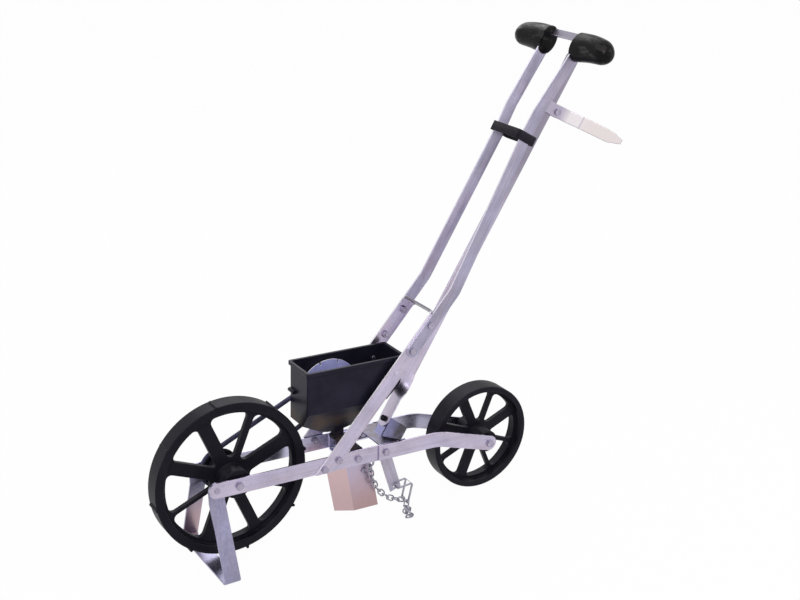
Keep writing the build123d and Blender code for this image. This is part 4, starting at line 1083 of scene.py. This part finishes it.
def end_round(share):
    """Swell of a rounded end: a little at its face, 1 from the end of the rounding on."""
    left = 1.0 - min(1.0, share)
    fall, rise = GRIP_POWERS
    return max(GRIP_FACE, (1.0 - left ** fall) ** rise)


class PLANTER_OT_strap(bpy.types.Operator):
    """Build the webbing strap round the handles"""

    bl_idname = "planter.strap"
    bl_label = "Strap"

    def execute(self, context):
        up, ahead = handle_axes()
        points = [v.co for v in NODES["handle_strap"].data.vertices]
        along = [f(p.dot(up) for p in points) for f in (min, max)]
        depth = [f(p.dot(ahead) for p in points) for f in (min, max)]
        mesh = strap_mesh(up, ahead, along, depth, max(p.y for p in points))
        add_piece("strap", mesh, strap_webbing("strap_webbing"), "strap_webbing", "handle_strap")
        return {"FINISHED"}


def strap_mesh(up, ahead, along, depth, reach):
    """Closed band of webbing with rounded corners."""
    corners = [(reach, depth[0]), (reach, depth[1]), (-reach, depth[1]), (-reach, depth[0])]
    path = []
    for i, (y, n) in enumerate(corners):
        start = radians(90 * (i - 1))
        cy = y - STRAP_CORNER * (1 if y > 0 else -1)
        cn = n - STRAP_CORNER * (1 if n == depth[1] else -1)
        for step in range(STRAP_STEPS + 1):
            a = start + radians(90) * step / STRAP_STEPS
            path.append((cy + STRAP_CORNER * cos(a), cn + STRAP_CORNER * sin(a), cos(a), sin(a)))
    rings = []
    for y, n, dy, dn in path:
        ring = []
        for s, t in ((0, 0), (1, 0), (1, 1), (0, 1)):
            spot = along[0] + (along[1] - along[0]) * s
            inside = -STRAP_THICK * t
            ring.append(up * spot + ahead * (n + dn * inside) + Vector((0, y + dy * inside, 0)))
        rings.append(ring)
    return skin_rings("strap", rings, True)


class PLANTER_OT_chain(bpy.types.Operator):
    """Build round wire links for the drag chain and its bunched free end"""

    bl_idname = "planter.chain"
    bl_label = "Drag chain"

    def execute(self, context):
        zinc = zinc_steel("chain_zinc", context.scene.planter_colours.zinc, rim_tone=1.5)
        twist = context.scene.planter_sizes.twist
        for node in ("drag_chain", "chain_tail"):
            places = link_places(node)
            if node == "chain_tail":
                places += bunched(min(places, key=lambda place: place[0][2]))
            links = [wire_link(*place, twist) for place in places]
            mesh = join_parts(node + "_wire", [skin_rings("link", rings, True) for rings in links])
            add_piece(node + "_wire", mesh, zinc, "zinc_steel", node)
        return {"FINISHED"}


def bunched(place):
    """Copies of a link that lie askew round it, like a bunched end of chain."""
    middle, axes, size = place
    copies = []
    for shift, turn in BUNCH:
        spin = np.array(Euler([radians(t) for t in turn]).to_matrix())
        copies.append((middle + np.array(shift), axes @ spin.T, size))
    return copies


def link_places(node):
    """Middle, axes from longest to shortest and extents of each link of a CAD chain."""
    shape = bmesh.new()
    shape.from_mesh(NODES[node].data)
    bmesh.ops.remove_doubles(shape, verts=shape.verts, dist=SAME_POINT)
    left = set(shape.verts)
    places = []
    while left:
        stack = [left.pop()]
        island = []
        while stack:
            vert = stack.pop()
            island.append(vert.co[:])
            for edge in vert.link_edges:
                other = edge.other_vert(vert)
                if other in left:
                    left.remove(other)
                    stack.append(other)
        cloud = np.array(island)
        middle = cloud.mean(0)
        axes = np.linalg.eigh(np.cov((cloud - middle).T))[1].T[::-1]
        spread = (cloud - middle) @ axes.T
        places.append((middle, axes, spread.max(0) - spread.min(0)))
    shape.free()
    return sorted(places, key=lambda p: tuple(np.round(p[0], 5)))


def wire_link(middle, axes, size, twist):
    """Rings of a round wire bent into a closed link with a slight twist."""
    wire = size[2] / 2
    half_long, half_wide = size[0] / 2 - wire, size[1] / 2 - wire
    straight = half_long - half_wide
    rings = []
    for i in range(LINK_STEPS):
        a = 2 * pi * i / LINK_STEPS
        along = half_wide * cos(a) + (straight if cos(a) >= 0 else -straight)
        across = half_wide * sin(a)
        turn = twist * along / size[0]
        outward = (cos(a), sin(a))
        ring = []
        for j in range(WIRE_SIDES):
            b = 2 * pi * j / WIRE_SIDES
            u = along + wire * cos(b) * outward[0]
            v = across + wire * cos(b) * outward[1]
            w = wire * sin(b)
            v, w = v * cos(turn) - w * sin(turn), v * sin(turn) + w * cos(turn)
            ring.append(tuple(middle + axes[0] * u + axes[1] * v + axes[2] * w))
        rings.append(ring)
    return rings


class PLANTER_OT_stage(bpy.types.Operator):
    """Set the pale floor, soft light and camera"""

    bl_idname = "planter.stage"
    bl_label = "Stage"

    def execute(self, context):
        studio = context.scene.planter_studio
        self.add_floor(studio)
        self.add_world(context.scene, studio)
        self.add_lamp("key", *KEY_LAMP, studio.key)
        self.add_lamp("fill", *FILL_LAMP, studio.fill)
        self.add_lamp("back", *BACK_LAMP, studio.fill)
        self.add_camera(context.scene, studio)
        context.scene.view_settings.view_transform = "Standard"
        return {"FINISHED"}

    def seen_share(self, f):
        """1 for rays from the camera, a mirror or glass, else 0."""
        kinds = ("Is Camera Ray", "Is Glossy Ray", "Is Transmission Ray")
        rays = [f.node("ShaderNodeLightPath", {}, {}, kind) for kind in kinds]
        return (rays[0] + rays[1] + rays[2]).clamp(0.0, 1.0)

    def add_floor(self, studio):
        mesh = bpy.data.meshes.new("floor")
        signs = ((-1, -1), (1, -1), (1, 1), (-1, 1))
        corners = [(FLOOR_HALF * x, FLOOR_HALF * y, 0) for x, y in signs]
        mesh.from_pydata(corners, [], [(0, 1, 2, 3)])
        f = Finish("floor")
        f.set(Base_Color=rgba(studio.floor), Roughness=0.9)
        glow = f.node("ShaderNodeEmission", {}, {"Color": WHITE, "Strength": 1.0})
        surface = Socket(f, f.shader.outputs[0])
        share = self.seen_share(f) * FLOOR_GLOW
        mixed = f.node("ShaderNodeMixShader", {}, {0: share, 1: surface, 2: glow})
        f.feed(f.tree.nodes["Material Output"].inputs[0], mixed)
        mesh.materials.append(f.material)
        floor = bpy.data.objects.new("floor", mesh)
        bpy.context.scene.collection.objects.link(floor)

    def add_world(self, scene, studio):
        scene.world = bpy.data.worlds.new("studio")
        scene.world.use_nodes = True
        f = Finish("studio", scene.world.node_tree)
        sky = f.tree.nodes["Background"].inputs
        f.feed(sky["Strength"], studio.world + (1.0 - studio.world) * self.seen_share(f))
        f.feed(sky["Color"], WHITE)

    def add_lamp(self, name, place, size, power):
        lamp = bpy.data.lights.new(name, "AREA")
        lamp.shape = "SQUARE"
        lamp.size = size
        lamp.energy = power
        holder = bpy.data.objects.new(name, lamp)
        holder.location = place
        aim = Vector(LAMP_AIM) - Vector(place)
        holder.rotation_euler = aim.to_track_quat("-Z", "Y").to_euler()
        bpy.context.scene.collection.objects.link(holder)

    def add_camera(self, scene, studio):
        data = bpy.data.cameras.new("camera")
        data.lens = studio.lens
        data.sensor_width = SENSOR_WIDTH
        holder = bpy.data.objects.new("camera", data)
        right, up = Vector(CAMERA_RIGHT), Vector(CAMERA_UP)
        turn = Matrix((right, up, right.cross(up))).transposed().to_4x4()
        holder.matrix_world = Matrix.Translation(CAMERA_PLACE) @ turn
        scene.collection.objects.link(holder)
        scene.camera = holder


class PLANTER_PT_panel(bpy.types.Panel):
    """Lists the planter's pieces and finishes"""

    bl_idname = "PLANTER_PT_panel"
    bl_label = "Seed planter"
    bl_space_type = "VIEW_3D"
    bl_region_type = "UI"
    bl_category = "Planter"

    def draw(self, context):
        for operator in OPERATORS:
            self.layout.operator(operator.bl_idname)
        for group in GROUPS:
            box = self.layout.box()
            settings = getattr(context.scene, group)
            for name in settings.__annotations__:
                box.prop(settings, name)


GROUPS = {
    "planter_colours": PlanterColours,
    "planter_sizes": PlanterSizes,
    "planter_studio": PlanterStudio,
}
OPERATORS = (
    PLANTER_OT_stage,
    PLANTER_OT_bars,
    PLANTER_OT_sheets,
    PLANTER_OT_fasteners,
    PLANTER_OT_wheels,
    PLANTER_OT_hopper,
    PLANTER_OT_belt,
    PLANTER_OT_grips,
    PLANTER_OT_strap,
    PLANTER_OT_chain,
)


def register():
    for name, group in GROUPS.items():
        bpy.utils.register_class(group)
        setattr(bpy.types.Scene, name, PointerProperty(type=group))
    for operator in OPERATORS:
        bpy.utils.register_class(operator)
    bpy.utils.register_class(PLANTER_PT_panel)


def unregister():
    bpy.utils.unregister_class(PLANTER_PT_panel)
    for operator in reversed(OPERATORS):
        bpy.utils.unregister_class(operator)
    for name, group in reversed(GROUPS.items()):
        delattr(bpy.types.Scene, name)
        bpy.utils.unregister_class(group)


def main():
    register()
    for operator in OPERATORS:
        group, name = operator.bl_idname.split(".")
        getattr(getattr(bpy.ops, group), name)()


if __name__ == "__main__":
    main()
